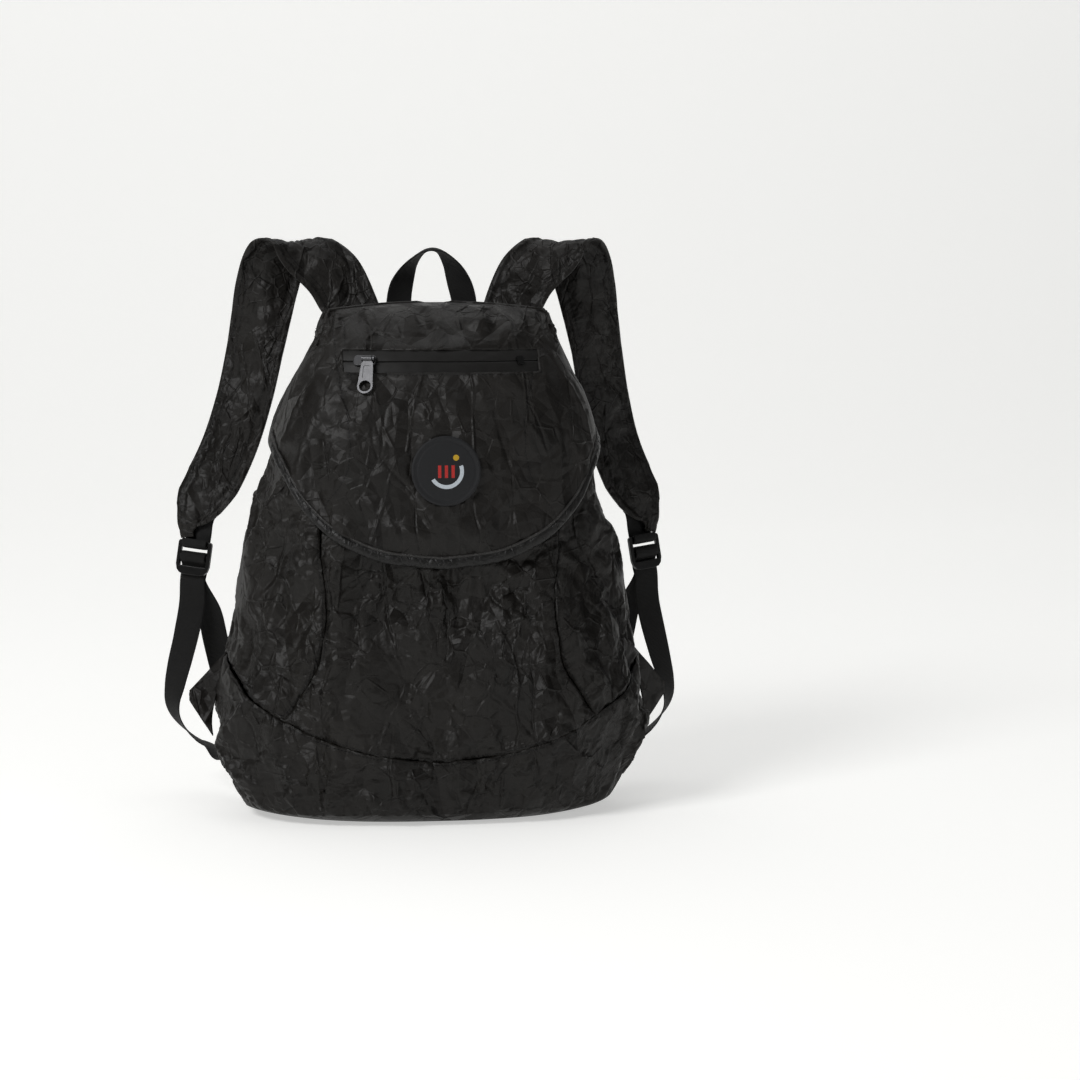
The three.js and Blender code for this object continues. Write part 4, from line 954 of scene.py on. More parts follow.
# Folds, sharp pleats, fine crumpling, gathers under the top seam and puckers at the seams. Inward it
# stays shallow, because the bag's own wall is close behind.
def lidRelief(turn, height, points, normals, seams):
    distance, along, side = seamPlace(points, normals, seams)
    zipFar = (height - lid["level"]) / lid["windowHeight"]
    calm = 1 - np.exp(-zipFar ** 4) * (1 - ramp(50, 62, degreesOff(turn)))
    up = height / bag["height"]
    few, many = gathers["counts"]
    wave = np.cos(few * turn) + 0.8 * np.cos(many * turn + 1)
    gather = gathers["height"] * ramp(gathers["low"], gathers["full"], up) * wave
    rim = ramp(8, 30, height - lidEdge(turn))
    relief = foldHeight(lidFolds, turn, height) * 0.8 + foldHeight(lidPleats, turn, height)
    u, v = points[..., 0] + 0.8 * points[..., 1], points[..., 2]
    much = (0.35 + 0.65 * ramp(0, 20, distance)) * (0.45 + 0.55 * rim)
    relief = relief + crumple(u, v, lid["crumple"]) * much
    relief = relief * calm * (1 - ramp(0.955, 0.985, up))
    relief = relief + gather * (1 - ramp(0.985, 0.995, up)) + 0.6 * pucker(distance, along, {**seamLook, "seed": 5})
    relief = relief - 6 * ramp(0.935, 0.995, up) * np.sin(turn) ** 2
    low = -1.6 - 6 * ramp(0.935, 0.96, up)
    return np.where(relief < low, low + (relief - low) * 0.15, relief), distance * side, along


# The turns of the lid's columns and, for the front, their places across: two columns are moved to the
# window's ends, and those beside them follow.
def lidColumns():
    columns = lid["columns"]
    nominal = np.linspace(-math.pi, math.pi, columns, endpoint=False)
    middle = lidMiddle(lid["level"])
    ends = [int(np.argmin(np.abs(nominal - lidTurnAt(middle + end, lid["level"])))) for end in lid["window"]]
    across = hullPoint(lidSections, nominal, lid["level"])[:, 0]
    for end, column in zip(lid["window"], ends):
        shift = middle + end - across[column]
        across = across + shift * np.exp(-((np.arange(columns) - column) / lid["follow"]) ** 2)
    return nominal, across, ends


# Turn and height of each point. Rows run evenly from the rim to the top behind, and exactly along the
# window's edges in front, where the columns stand upright.
def lidGrid(nominal, across):
    off = degreesOff(nominal)
    low = lidEdge(nominal) + lid["tucked"] * (1 - ramp(*lid["tuckEnds"], off))
    top = lid["top"] * bag["height"]
    even = low[None, :] + (top - low[None, :]) * (1 - (1 - np.linspace(0, 1, lid["rows"])[:, None]) ** 1.2)
    first, last = lid["windowRows"]
    upward = 1 - (1 - np.linspace(0, 1, lid["rows"] - last)[1:]) ** 1.3
    above = np.concatenate([np.linspace(windowLow, windowHigh, last - first + 1)[1:],
                            windowHigh + (top - windowHigh) * upward])
    exact = np.concatenate([low[None, :] + (windowLow - low[None, :]) * np.linspace(0, 1, first + 1)[:, None],
                            np.repeat(above[:, None], len(nominal), 1)])
    back = ramp(*lid["backFrom"], off)[None, :]
    height = exact * (1 - back) + even * back
    turn = nominal[None, :] + 0 * height
    front = np.abs(nominal) < math.radians(lid["frontSpan"])
    straight = lidTurnAt(across[None, front] + 0 * height[:, front], height[:, front])
    weight = 1 - ramp(*lid["straightRise"], np.abs(height - lid["level"])[:, front])
    weight = weight * (1 - ramp(*lid["straightSpan"], off[front]))[None, :]
    turn[:, front] = turn[:, front] * (1 - weight) + straight * weight
    return turn, height


# The shaped seams, the window's four sides and the rim's stitching.
def lidSeams():
    lines = []
    for line in princess:
        line = np.array(line, float)
        lines.append(hullPoint(lidSections, np.radians(line[:, 0]), line[:, 1]))
    middle = lidMiddle(lid["level"])
    x = np.linspace(lid["window"][0], lid["window"][1], 16) + middle
    for level in (windowLow, windowHigh):
        lines.append(hullPoint(lidSections, lidTurnAt(x, level), level + 0 * x))
    z = np.linspace(windowLow, windowHigh + lid["seamPast"], 8)
    for end in lid["window"]:
        lines.append(hullPoint(lidSections, lidTurnAt(middle + end + 0 * z, z), z))
    turn = np.radians(np.linspace(-lid["stitched"], lid["stitched"], 90))
    lines.append(hullPoint(lidSections, turn, lidEdge(turn) + lid["binding"]))
    return lines


# Rings that close the lid's top, from its highest row in towards the crown.
def lidRings(rim, crown):
    rings = []
    for ring in range(1, lid["crownRows"]):
        inward = ring / lid["crownRows"]
        level = rim + (crown - rim) * inward
        level[:, 2] = rim[:, 2] + (crown[2] - rim[:, 2]) * (1 - (1 - inward) ** 2)
        rings.append(level)
    return rings


def lidCloth():
    nominal, across, ends = lidColumns()
    turn, height = lidGrid(nominal, across)
    smooth, normals = hullPoint(lidSections, turn, height), hullNormal(lidSections, turn, height)
    relief, distance, along = lidRelief(turn, height, smooth, normals, lidSeams())
    points = smooth + normals * relief[..., None]
    crown = np.array([bag["width"] * lidCrown["lean"], bag["depth"] * lidCrown["back"], bag["height"]])
    points = np.concatenate([points, lidRings(points[-1], crown)])

    def closed(values, step=0.0):
        more = np.concatenate([values, np.repeat(values[-1:], lid["crownRows"] - 1, 0)])
        return closeRound(more, step)

    maps = {"cloth": (closed(turn, 2 * math.pi) * bag["width"] / 2, closed(height)),
            "seam": (closed(along), closed(distance))}
    skip = np.zeros((len(points) - 1, len(nominal)), bool)
    skip[slice(*lid["windowRows"]), slice(*ends)] = True
    mesh = gridMesh("lidCloth", points, maps, wrap=True, skip=skip, caps=(None, crown))
    return makeObject("lidCloth", mesh, "bag", ["lid"], looks["lidCloth"])


walled.append(lidCloth())


# Heights above the lid's edge and distances out of the lid, round the edge tape
tapeRing = [(0.4, -0.7), (1.6, -1.6), (6, -1.9), (11.2, -1.5), (11.5, 0.0), (11.1, 1.0), (10.3, 1.5), (9.5, 1.2),
            (8.9, 0.5), (8.3, 1.1), (6.8, 1.8), (4.6, 2.1), (2.4, 1.9), (0.9, 1.1), (0.2, 0.2)]


# A roll of edge tape with a thin cord along its upper side: the ring swept along the edge.
def lidBinding():
    ring = np.array(tapeRing)
    turn = np.radians(np.linspace(-lid["bound"], lid["bound"], 300))[:, None]
    edge = hullPoint(lidSections, turn, lidEdge(turn))[:, 0]
    slide = np.concatenate([[0], np.cumsum(np.linalg.norm(np.diff(edge, axis=0), axis=-1))])[:, None]
    ripple = 1 + 0.16 * noise(slide / 7, slide * 0 + 0.5, 17) + 0.1 * noise(slide / 2.6, slide * 0 + 0.5, 19)
    height = lidEdge(turn) + ring[None, :, 0]
    around = turn + 0 * height
    out = ring[None, :, 1] * np.where(ring[None, :, 1] > 0, ripple, 1)
    points = offHull(lidSections, around, height, out)
    girth = np.concatenate([ring[:, 0], ring[:1, 0]])
    maps = {"cloth": (slide + 0 * girth[None, :], girth[None, :] + 0 * slide)}
    mesh = gridMesh("lidEdgeTape", points, maps, wrap=True, caps=(points[0].mean(0), points[-1].mean(0)))
    return makeObject("lidEdgeTape", mesh, "bag", ["lid_binding"], looks["binding"])


lidBinding()
print("lid made")

# Zip and badge

zipTape = {"margin": 5, "behind": 2.5, "rise": 1.5, "slit": 0.5, "dip": 1.5, "wall": 1.2}


# Two halves of smooth tape that meet at a fine slit: the tape swells gently between the window's
# edges and dips sharply at its middle line.
def zipCloth():
    middle = lidMiddle(lid["level"])
    half = lid["windowHeight"] / 2 + zipTape["margin"]
    steps = np.linspace(-1, 1, 57)
    above = half * np.sign(steps) * np.abs(steps) ** 1.6
    x = np.linspace(lid["window"][0] - zipTape["margin"], lid["window"][1] + zipTape["margin"], 150)[None, :]
    height = lid["level"] + above[:, None] + 0.25 * noise(x / 30, x * 0 + 0.5, 71)
    turn = lidTurnAt(middle + x + 0 * height, height)
    swell = zipTape["rise"] * (1 - (np.abs(above) / (half + 0.1)) ** 4)
    swell = swell - zipTape["dip"] * np.exp(-(above / zipTape["slit"]) ** 2)
    out = -zipTape["behind"] + swell[:, None] + 0.12 * noise(x / 9 + 0 * height, height / 4, 73)
    mesh = gridMesh("zipCloth", offHull(lidSections, turn, height, out), {"cloth": (x + 0 * height, height)})
    thing = makeObject("zipCloth", mesh, "bag", ["zip_tape"], looks["zipTape"])
    return addWall(thing, zipTape["wall"])


zipCloth()

badge = {"radius": 30, "level": 313, "raise": 1.2, "wall": 1.6, "rings": 46, "around": 200, "rimLift": 0.5,
         "edge": [(0, 0.75), (0.1, 0.3), (0, -0.6), (-3, -1.0)], "step": (24.6, 26), "stepDepth": 0.25}


# A soft rubber disc that follows the lid's curve: a raised round rim, and a fine step inside it.
def badgeDisc():
    middle = lidMiddle(lid["level"])
    angle = np.linspace(0, 2 * math.pi, badge["around"], endpoint=False)[None, :]
    outer = badge["radius"]
    edge = np.array(badge["edge"])
    reach = np.concatenate([outer * np.linspace(0.03, 0.985, badge["rings"]), outer + edge[:, 0]])[:, None]
    lift = np.concatenate([np.ones(badge["rings"]), edge[:, 1]])[:, None] * badge["wall"] / 2
    rim = np.exp(-((reach - outer + 1.6) / 1.1) ** 4)
    inner, far = badge["step"]
    step = ramp(0, 0.5, reach - inner) * (1 - ramp(0, 0.5, reach - far))
    lift = lift + np.where(lift > 0, badge["rimLift"] * rim - badge["stepDepth"] * step, 0)
    x, z = reach * np.cos(angle), reach * np.sin(angle)
    height = badge["level"] + z
    turn = lidTurnAt(middle + x, height)
    points = offHull(lidSections, turn, height, badge["raise"] + badge["wall"] / 2 + lift + 0 * x)
    level = np.array(badge["level"], float)
    centre = offHull(lidSections, lidTurnAt(middle, level), level, badge["raise"] + badge["wall"])
    maps = {"cloth": (closeRound(x), closeRound(z))}
    mesh = gridMesh("badgeDisc", points, maps, wrap=True, caps=(centre, None))
    return makeObject("badgeDisc", mesh, "bag", ["badge"], looks["badge"])


badgeDisc()
print("zip and badge made")

# Bands: straps, webbing, keepers and handle

width = {"webbing": 25, "webbingWall": 1.4, "strap": 58, "strapThick": 7, "strapEdge": 1.6, "keeperWall": 1.4,
         "keeperFill": 1.7, "handle": 23, "handleWall": 1.8, "channel": 8}
strapRoots = table(["out", "up", "wide", "full", "sunk"], [
    [0.35, 0.951, 0.86, 0.26, 0.9],
    [0.352, 0.967, 0.87, 0.3, 0.9],
])
bandColumns = ["out", "back", "up", "wide", "full", "turn", "lift"]
strapRows = table(bandColumns, [
    [0.395, 0.41, 1.006, 0.92, 0.7, -10, -16],
    [0.455, 0.428, 1.053, 0.96, 0.9, -16, -27],
    [0.553, 0.468, 1.09, 0.99, 1, -24, -22],
    [0.635, 0.532, 1.112, 1, 0.9, -33, 0],
    [0.707, 0.6, 1.088, 1, 1, -18, 24],
    [0.752, 0.637, 1.03, 1, 1, 8, 16],
    [0.782, 0.653, 0.965, 1, 1, 22, 10],
    [0.81, 0.658, 0.9, 1, 1, 29, 8],
    [0.853, 0.658, 0.803, 0.98, 1, 29, 8],
    [0.914, 0.653, 0.706, 0.98, 1, 29, 8],
    [0.985, 0.64, 0.634, 0.98, 0.9, 28, 8],
    [1.045, 0.634, 0.592, 0.86, 0.8, 27, 8],
    [1.075, 0.632, 0.568, 0.66, 0.6, 26, 5],
    [1.098, 0.631, 0.548, 0.4, 0.5, 26, 0],
    [1.104, 0.628, 0.532, 0.24, 0.4, 25, 0],
    [1.1, 0.626, 0.518, 0.22, 0.35, 25, 0],
])
buckle = {"out": 1.058, "back": 0.606, "up": 0.519, "turn": 25, "leanOut": 8.5, "leanIn": 5, "drop": 18.5, "bar": 4}
keeperRows = table(["out", "back", "up", "wide", "turn", "behind"], [
    [1.03, 0.634, 0.606, 1.9, 27, 0.84],
    [1.055, 0.631, 0.58, 1.8, 27, 0.74],
    [1.06, 0.621, 0.558, 1.45, 26, 0.58],
    [1.057, 0.616, 0.541, 1.12, 25, 0.56],
])
keeperThread = [(4.1, -1.05), (2.75, -0.95), (2.35, -0.55), (2.15, 0), (2.35, 0.55), (2.75, 0.88), (4.1, 0.88)]
webbingThread = [
    (-5.5, -0.85), (-3.3, -0.85), (-2.4, -0.88), (-1.8, -0.55), (-1.3, 0), (-1, 0.55), (-0.4, 0.86), (0.25, 0.86),
    (0.8, 0.57), (1.08, 0), (0.98, -0.65), (0.55, -1.18), (-0.3, -1.42), (-2, -1.46), (-3.6, -1.5), (-5.5, -1.55),
]
runColumns = ["out", "back", "up", "turn"]
runRows = table(runColumns, [
    [1.083, 0.6, 0.385, 18], [1.11, 0.592, 0.324, 22], [1.143, 0.578, 0.265, 30], [1.168, 0.56, 0.219, 42],
    [1.178, 0.542, 0.186, 56], [1.16, 0.517, 0.157, 70], [1.116, 0.486, 0.131, 80], [1.062, 0.457, 0.112, 85],
    [1.004, 0.427, 0.1, 96],
])
runEnd = {"turn": 124, "up": 0.094, "across": 122}
tailRows = table(runColumns, [
    [1.005, 0.642, 0.365, 22], [0.975, 0.66, 0.305, 20], [0.945, 0.668, 0.25, 16], [0.915, 0.664, 0.2, 12],
])
handleRoots = table(["out", "up", "sunk"], [[0.148, 0.951, -0.5], [0.148, 0.966, -0.5]])
handleRows = table(runColumns, [
    [-0.152, 0.4, 0.995, 4], [-0.138, 0.415, 1.032, 22], [-0.085, 0.424, 1.077, 58], [-0.02, 0.428, 1.1, 84],
    [0.035, 0.428, 1.1, 98], [0.09, 0.424, 1.076, 124], [0.135, 0.415, 1.032, 158], [0.152, 0.4, 0.995, 176],
])


# Points for one side of the bag: side is 1 for right and -1 for left.
def spot(side, rows):
    x = side * rows["out"] * bag["width"] / 2 + bag["width"] * bag["lean"] * ramp(0.5, 0.95, rows["up"])
    return np.stack([x, rows["back"] * bag["depth"], rows["up"] * bag["height"]], -1)


def acrossAt(side, turn, lift=0):
    turn, lift = np.radians(turn), np.radians(lift)
    level = np.cos(lift)
    return np.stack([side * level * np.cos(turn), level * np.sin(turn), np.sin(lift) + 0 * turn], -1)


# Where a band is sewn to the lid's back, and the way along the lid there, away from the middle.
def sewnOnLid(side, rows, thick):
    across = side * rows["out"] * bag["width"] / 2 + bag["width"] * bag["lean"]
    height = rows["up"] * bag["height"]
    wide = bag["width"] / 2 * follow(lidSections, "up", "wide", rows["up"])
    turn = np.full(across.shape, math.pi)
    for _ in range(40):
        turn = turn - 0.8 * (across - hullPoint(lidSections, turn, height)[..., 0]) / wide
    near, far = turn - side * 0.02, turn + side * 0.02
    outward = hullPoint(lidSections, near, height) - hullPoint(lidSections, far, height)
    outward = outward / np.linalg.norm(outward, axis=-1, keepdims=True)
    return offHull(lidSections, turn, height, thick / 2 - rows["sunk"]), outward


# Centripetal Catmull-Rom curve: equal steps of its parameter between each two points. Returns the
# points and unit tangents.
def curveThrough(points, steps):
    points = np.asarray(points, float)
    ends = np.concatenate([[2 * points[0] - points[1]], points, [2 * points[-1] - points[-2]]])
    a, b, c, d = ends[:-3], ends[1:-2], ends[2:-1], ends[3:]
    gap = lambda p, q: np.sqrt(np.linalg.norm(q - p, axis=-1))[:, None]
    t0, t1, t2 = gap(a, b), gap(b, c), gap(c, d)
    first = ((b - a) / t0 - (c - a) / (t0 + t1) + (c - b) / t1) * t1
    second = ((c - b) / t1 - (d - b) / (t1 + t2) + (d - c) / t2) * t1
    t = (np.arange(steps) / steps)[None, :, None]
    b, c, first, second = (value[:, None, :] for value in (b, c, first, second))
    cube, square = 2 * b - 2 * c + first + second, -3 * b + 3 * c - 2 * first - second
    line = b + first * t + square * t ** 2 + cube * t ** 3
    slope = first + 2 * square * t + 3 * cube * t ** 2
    lastSlope = (first + 2 * square + 3 * cube)[-1]
    line = np.concatenate([line.reshape(-1, 3), points[-1:]])
    slope = np.concatenate([slope.reshape(-1, 3), lastSlope.reshape(1, 3)])
    return line, slope / np.linalg.norm(slope, axis=-1, keepdims=True)


# The band's middle line with its directions across and out of its face, and its sizes, at every step
# between the stations.
def bandFrame(points, across, sizes, steps):
    line, along = curveThrough(points, steps)
    at = np.arange(len(line)) / steps
    station = np.arange(len(points))
    mix = lambda values: np.interp(at, station, values)
    across = np.stack([mix(across[:, k]) for k in range(3)], -1)
    across = across - along * np.sum(across * along, -1, keepdims=True)
    across = across / np.linalg.norm(across, axis=-1, keepdims=True)
    face = np.cross(across, along)
    face = face / np.linalg.norm(face, axis=-1, keepdims=True)
    length = np.concatenate([[0], np.cumsum(np.linalg.norm(np.diff(line, axis=0), axis=1))])
    return {"line": line, "along": along, "across": across, "face": face, "length": length,
            **{name: mix(np.asarray(values, float)) for name, values in sizes.items()}}


# Places round a flat band: from its left edge over its face to its right edge, and back behind.
def bandRing(count):
    side = np.sin(np.linspace(-math.pi / 2, math.pi / 2, count))
    return np.concatenate([side, side[::-1]]), np.concatenate([np.ones(count), -np.ones(count)])


# Closed band: each ring lies across the line, its thickness given for every place.
def bandMesh(name, band, side, way, thickness, relief=0):
    reach = side[None, :] * band["wide"][:, None] / 2
    out = way[None, :] * thickness / 2 + relief
    points = band["line"][:, None] + band["across"][:, None] * reach[..., None]
    points = points + band["face"][:, None] * out[..., None]
    run = closeRound(band["length"][:, None] + 0 * reach)
    channel = np.abs(np.abs(reach) - band["wide"][:, None] / 2 + width["channel"])
    maps = {"cloth": (closeRound(reach), run), "seam": (run, closeRound(channel))}
    return gridMesh(name, points, maps, wrap=True, caps=(band["line"][0], band["line"][-1]))


words = {-1: "left", 1: "right"}
pad = {"taper": (14, 24), "channelWidth": 2.2, "channelDepth": 0.62, "hem": 1.2, "hemIn": 3.6, "hemWidth": 2.6,
       "calm": 20, "heldRows": (6, 14)}
strapSettle = {"growth": 0.045, "most": 1.8, "pressure": 2.0}
strapCrumple = {"sizes": (26, 13, 7), "lifts": (0.9, 0.8, 0.5), "stretch": 0.7, "drag": 0, "seed": 140}


# A padded strap: thin where two stitched channels run beside its edges, full between them.
def shoulderStrap(side):
    thick = width["strapThick"] * strapRoots["full"]
    rootPoints, rootAcross = sewnOnLid(side, strapRoots, thick)
    points = np.concatenate([rootPoints, spot(side, strapRows)])
    across = np.concatenate([rootAcross, acrossAt(side, strapRows["turn"], strapRows["lift"])])
    sizes = {"wide": width["strap"] * np.concatenate([strapRoots["wide"], strapRows["wide"]]),
             "thick": width["strapThick"] * np.concatenate([strapRoots["full"], strapRows["full"]])}
    band = bandFrame(points, across, sizes, 11)
    edge, way = bandRing(27)
    half = band["wide"][:, None] / 2
    inFromEdge = half - np.abs(edge)[None, :] * half
    wideEnough = ramp(*pad["taper"], half)
    crown = width["strapEdge"] + (band["thick"][:, None] - width["strapEdge"]) * (1 - np.abs(edge)[None, :] ** 4)
    channel = np.exp(-((inFromEdge - width["channel"]) / pad["channelWidth"]) ** 2) * wideEnough
    hem = pad["hem"] * np.exp(-((inFromEdge - pad["hemIn"]) / pad["hemWidth"]) ** 2)
    thickness = crown * (1 - pad["channelDepth"] * channel) + hem * wideEnough
    # The two sides and the two faces take their crumpling from places far apart
    u = edge[None, :] * half + 200 * side
    v = band["length"][:, None] + 0 * u
    relief = crumple(u + 90 * (way < 0), v, {**strapCrumple, "seed": strapCrumple["seed"] + side})
    relief = relief * way[None, :] * (1 - np.abs(edge)[None, :] ** 6) * ramp(0, pad["calm"], v)
    name = "strapPad" + words[side].title()
    mesh = bandMesh(name, band, edge, way, thickness, relief)
    thing = makeObject(name, mesh, "bag", ["shoulder_strap_" + words[side]], looks["strapCloth"])
    held = np.clip(channel * 1.3, 0, 1) * np.ones_like(u)
    held = np.round(np.where(inFromEdge < 2, 1, held), 1)
    first, last = pad["heldRows"]
    held[:first], held[-last:] = 1, 1
    settleLater(thing, np.concatenate([held.ravel(), [1, 1]]), held.shape, **strapSettle)


shoulderStrap(-1)
shoulderStrap(1)


def buckleFrame(side):
    across = acrossAt(side, buckle["turn"])
    leanOut, leanIn = math.radians(buckle["leanOut"]), math.radians(buckle["leanIn"])
    along = np.array([-side * math.sin(leanOut), math.sin(leanIn), 1.0])
    along = along / np.linalg.norm(along)
    across = across - along * (across @ along)
    across = across / np.linalg.norm(across)
    face = np.cross(across, along) * side
    seat = spot(side, {name: np.array(buckle[name]) for name in ("out", "back", "up")}) - along * buckle["drop"]
    return {"across": across, "along": along, "face": face / np.linalg.norm(face), "seat": seat}


def inBuckle(side, rows):
    seat, rows = buckleFrame(side), np.array(rows, float) * buckle["bar"]
    return seat["seat"] + rows[:, :1] * seat["along"] + rows[:, 1:] * seat["face"]


# A band of one wall, curled across its width and bent along its run.
def flatBand(name, node, points, across, wide, wall, steps, material, curl=0.0, weave=0.0, seed=0):
    band = bandFrame(points, across, {"wide": wide}, steps)
    edge, way = bandRing(9)
    thickness = wall * (1 - 0.55 * np.abs(edge)[None, :] ** 12) + 0 * band["wide"][:, None]
    v = band["length"][:, None] + 0 * thickness
    relief = curl * (np.abs(edge)[None, :] ** 2 - 0.5) * ramp(0, 30, v) * ramp(0, 30, v[-1:] - v)
    relief = relief + weave * noise(v / 26, edge[None, :] * 0.7 + 0 * v, seed) * ramp(0, 20, v)
    mesh = bandMesh(name, band, edge, way, thickness, relief)
    return makeObject(name, mesh, "bag", [node], material)


def strapKeeper(side):
    seat = buckleFrame(side)
    upper = spot(side, keeperRows) - seat["face"] * (width["strapThick"] * keeperRows["behind"])[:, None]
    points = np.concatenate([upper, inBuckle(side, keeperThread)])
    level = np.repeat(seat["across"][None], len(keeperThread), 0)
    across = np.concatenate([acrossAt(side, keeperRows["turn"]), level])
    wide = width["webbing"] * np.concatenate([keeperRows["wide"], np.ones(len(keeperThread))])
    flatBand("strapKeeper" + words[side].title(), "strap_keeper_" + words[side], points, across, wide,
             width["keeperWall"] * width["keeperFill"], 8, looks["lining"])


def bagPoint(turn, height, inset=0.0):
    turn, height = np.array(turn, float), np.array(height, float)
    clear = 1 - ramp(lidEdge(turn) - 6, lidEdge(turn) + 20, height)
    lift = foldHeight(bagFolds, turn, height) * clear * ramp(0, 30, height)
    return offHull(bagSections, turn, height, lift - inset)


def adjustingWebbing(side):
    seat = buckleFrame(side)
    end, height = side * math.radians(runEnd["turn"]), bag["height"] * runEnd["up"]
    corner, outFromCorner = bagPoint(end, height), bagPoint(end, height, -12)
    run, runAcross = spot(side, runRows)[::-1], acrossAt(side, runRows["turn"])[::-1]
    threaded = inBuckle(side, webbingThread)
    tail = spot(side, tailRows)
    points = np.concatenate([[corner, outFromCorner], run, threaded, tail])
    ends = [acrossAt(side, runEnd["across"]), acrossAt(side, runEnd["across"] - 8)]
    level = np.repeat(seat["across"][None], len(threaded), 0)
    across = np.concatenate([ends, runAcross, level, acrossAt(side, tailRows["turn"])])
    wide = np.full(len(points), float(width["webbing"]))
    flatBand("adjuster" + words[side].title(), "webbing_" + words[side], points, across, wide,
             width["webbingWall"], 8, looks["webbing"], 0, 0.5, 160 + side)


def grabHandle():
    thick = np.full(2, float(width["handleWall"]))
    left, leftAcross = sewnOnLid(-1, handleRoots, thick)
    right, rightAcross = sewnOnLid(1, handleRoots, thick)
    points = np.concatenate([left, spot(1, handleRows), right[::-1]])
    across = np.concatenate([-leftAcross, acrossAt(1, handleRows["turn"]), -rightAcross[::-1]])
    wide = np.full(len(points), float(width["handle"]))
    flatBand("handleBand", "grab_handle", points, across, wide, width["handleWall"], 10, looks["webbing"],
             1.6, 0.5, 171)


tab = {"turn": 99, "low": 0.148, "high": 0.318, "tipUp": 0.215, "tipTurn": 103, "reach": 24, "wall": 2.2,
       "tipHeight": 9, "standOff": 0.8, "length": 78}


# A triangle of doubled cloth between its sewn edge and a short tip.
def sideTab(side):
    tip = bagPoint(side * math.radians(tab["tipTurn"]), bag["height"] * tab["tipUp"], -tab["reach"])
    share = np.linspace(0, 1, 26)[None, :]
    rows = np.linspace(0, 1, 18)[:, None]
    height = bag["height"] * (tab["low"] + (tab["high"] - tab["low"]) * share)
    turn = side * math.radians(tab["turn"]) + 0 * height
    lift = foldHeight(bagFolds, turn, height) * ramp(0, 30, height) + tab["standOff"]
    sewn = offHull(bagSections, turn, height, lift)
    ending = tip + np.array([0, 0, 1]) * (tab["tipHeight"] * (share - 0.5))[..., None]
    middle = sewn + (ending - sewn) * rows[..., None]
    out = hullNormal(bagSections, turn, height)
    level = np.stack([-out[..., 1], out[..., 0], 0 * out[..., 0]], -1)
    level = level / np.linalg.norm(level, axis=-1, keepdims=True)
    relief = 0.8 * noise(share * 5 + 0 * rows, rows * 3 + 0 * share, 181 + side) * rows * (1 - rows) * 4
    points = middle + level * (relief + tab["wall"] / 2)[..., None]
    if side < 0:
        points = points[:, ::-1]
    edge = np.minimum(np.minimum(share, 1 - share) * tab["length"], (1 - rows) * tab["reach"])
    along, out = share * tab["length"] + 0 * rows, rows * tab["reach"] + 0 * share
    name = "sideTab" + words[side].title()
    mesh = gridMesh(name, points, {"cloth": (along, out), "seam": (along, edge)})
    thing = makeObject(name, mesh, "bag", ["side_tab_" + words[side]], looks["cloth"])
    addWall(thing, tab["wall"])


for side in (-1, 1):
    strapKeeper(side)
    adjustingWebbing(side)
    sideTab(side)
grabHandle()
print("bands made")

settleAll(settle["frames"])
print("cloth settled", [(spec["thing"].name, round(spec["moved"], 2)) for spec in settling])
for thing in walled:
    addWall(thing, bag["wall"])

# Pieces kept from the frame


# Joins the corners of a kept solid and rounds its sharp edges.
def softenEdges(node, bevel, material):
    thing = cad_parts[node]
    if not thing.material_slots:
        thing.data.materials.append(material)
    for slot in thing.material_slots:
        slot.link = "OBJECT"
        slot.material = material
    weld = thing.modifiers.new("weld", "WELD")
    weld.merge_threshold = 0.00001
    soften = thing.modifiers.new("soften", "BEVEL")
    soften.width = bevel / 1000
    soften.segments = 2
    soften.limit_method = "ANGLE"
    soften.angle_limit = math.radians(35)


# Bevel and look of each kept piece.
kept = {
    "zip_slider": (0.25, "gunmetal"),
    "zip_puller": (0.3, "gunmetal"),
    "zip_end_stop": (0.2, "plastic"),
    "ladder_lock_left": (0.8, "plastic"),
    "ladder_lock_right": (0.8, "plastic"),
}
for node, (bevel, look) in kept.items():
    softenEdges(node, bevel, looks[look])
print("kept pieces dressed")


# Floor and light

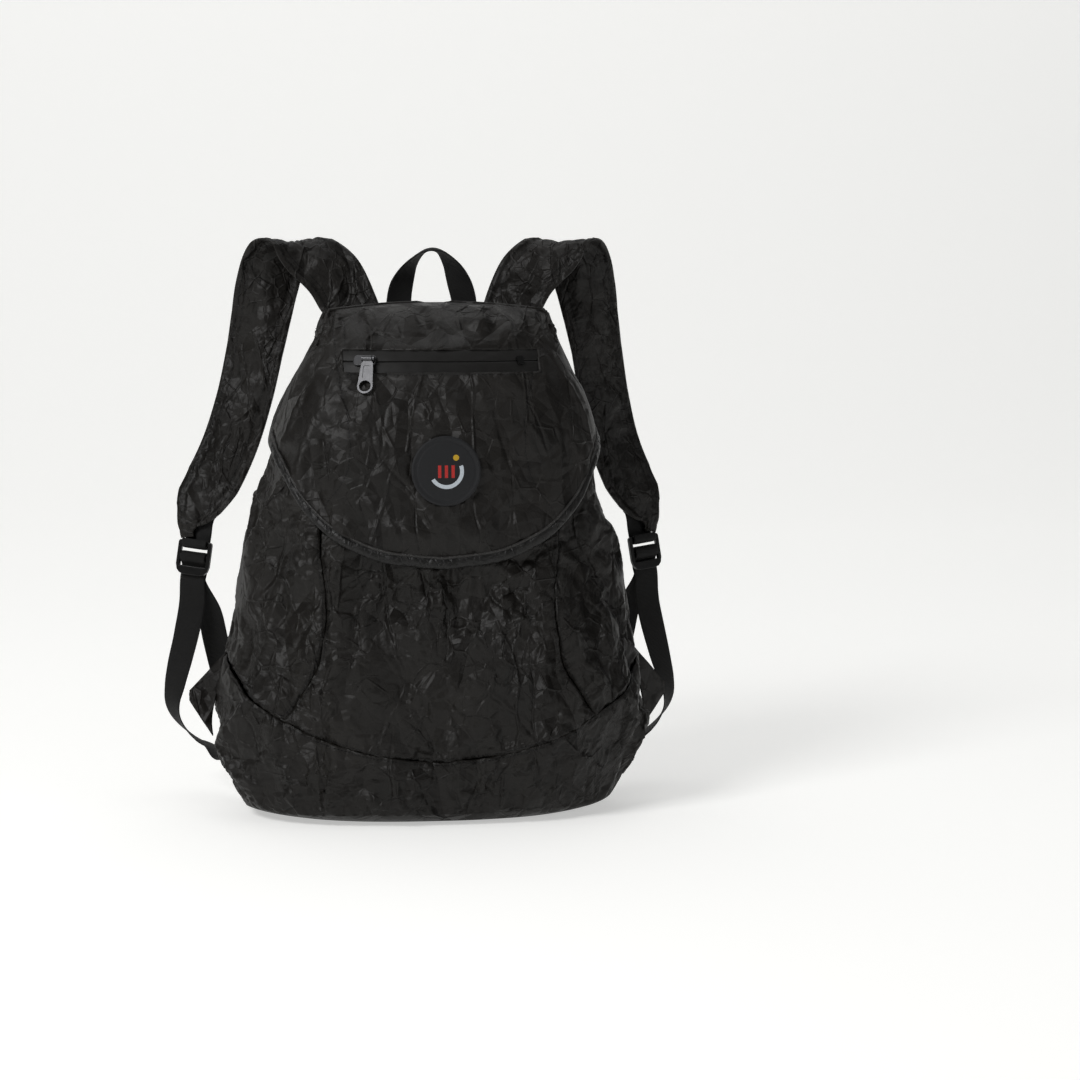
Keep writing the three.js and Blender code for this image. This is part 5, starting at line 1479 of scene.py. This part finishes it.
stage = {"floor": (0.71, 0.71, 0.695, 1), "glow": 0.46, "world": 0.09, "white": (1, 1, 0.99, 1),
         "half": 6, "flat": 2.4, "bend": 1.6, "rows": 60, "columns": 24}
# Name, power, size, place and aim of each lamp.
lamps = [
    ("keyLight", 66, 1.1, (-1.9, -1.9, 2.2), (0, 0, 0.25)),
    ("fillLight", 10, 1.2, (2.2, -2.2, 1.2), (0, 0, 0.25)),
    ("topLight", 48, 4.2, (0, 1.2, 3.4), (0, 0.4, 0)),
]


# A level floor that bends up behind in a quarter circle and goes on as a wall.
def makeFloor():
    half, flat, bend = stage["half"], stage["flat"], stage["bend"]
    x, reach = np.meshgrid(np.linspace(-half, half, stage["columns"]), np.linspace(-half, half, stage["rows"]))
    turn = np.clip((reach - flat) / bend, 0, math.pi / 2)
    y = np.where(reach < flat, reach, flat + bend * np.sin(turn))
    z = bend * (1 - np.cos(turn)) + np.maximum(reach - flat - bend * math.pi / 2, 0)
    faces = cells(np.arange(x.size).reshape(x.shape)).reshape(-1, 4)
    mesh = bpy.data.meshes.new("floor")
    mesh.from_pydata(np.stack([x, y, z], -1).reshape(-1, 3).tolist(), [], faces.tolist())
    mesh.shade_smooth()
    material, tree, shader = newMaterial("paper")
    feed(tree, shader, {"Base Color": stage["floor"], "Roughness": 0.9, "Specular IOR Level": 0.05,
                        "Emission Color": stage["white"], "Emission Strength": stage["glow"]})
    mesh.materials.append(material)
    floor = bpy.data.objects.new("floor", mesh)
    scene.collection.objects.link(floor)


def makeLight():
    world = bpy.data.worlds.new("studio")
    scene.world = world
    world.use_nodes = True
    background = world.node_tree.nodes["Background"].inputs
    feed(world.node_tree, background, {"Color": stage["white"], "Strength": stage["world"]})
    for name, energy, size, spot, aim in lamps:
        data = bpy.data.lights.new(name, "AREA")
        data.energy, data.size = energy, size
        lamp = bpy.data.objects.new(name, data)
        scene.collection.objects.link(lamp)
        lamp.location = spot
        way = np.array(aim) - np.array(spot)
        down = math.atan2(math.hypot(way[0], way[1]), -way[2])
        lamp.rotation_euler = (down, 0, math.atan2(way[0], -way[1]) + math.pi)
    scene.view_settings.view_transform = "Standard"


makeFloor()
makeLight()
print("stage made")
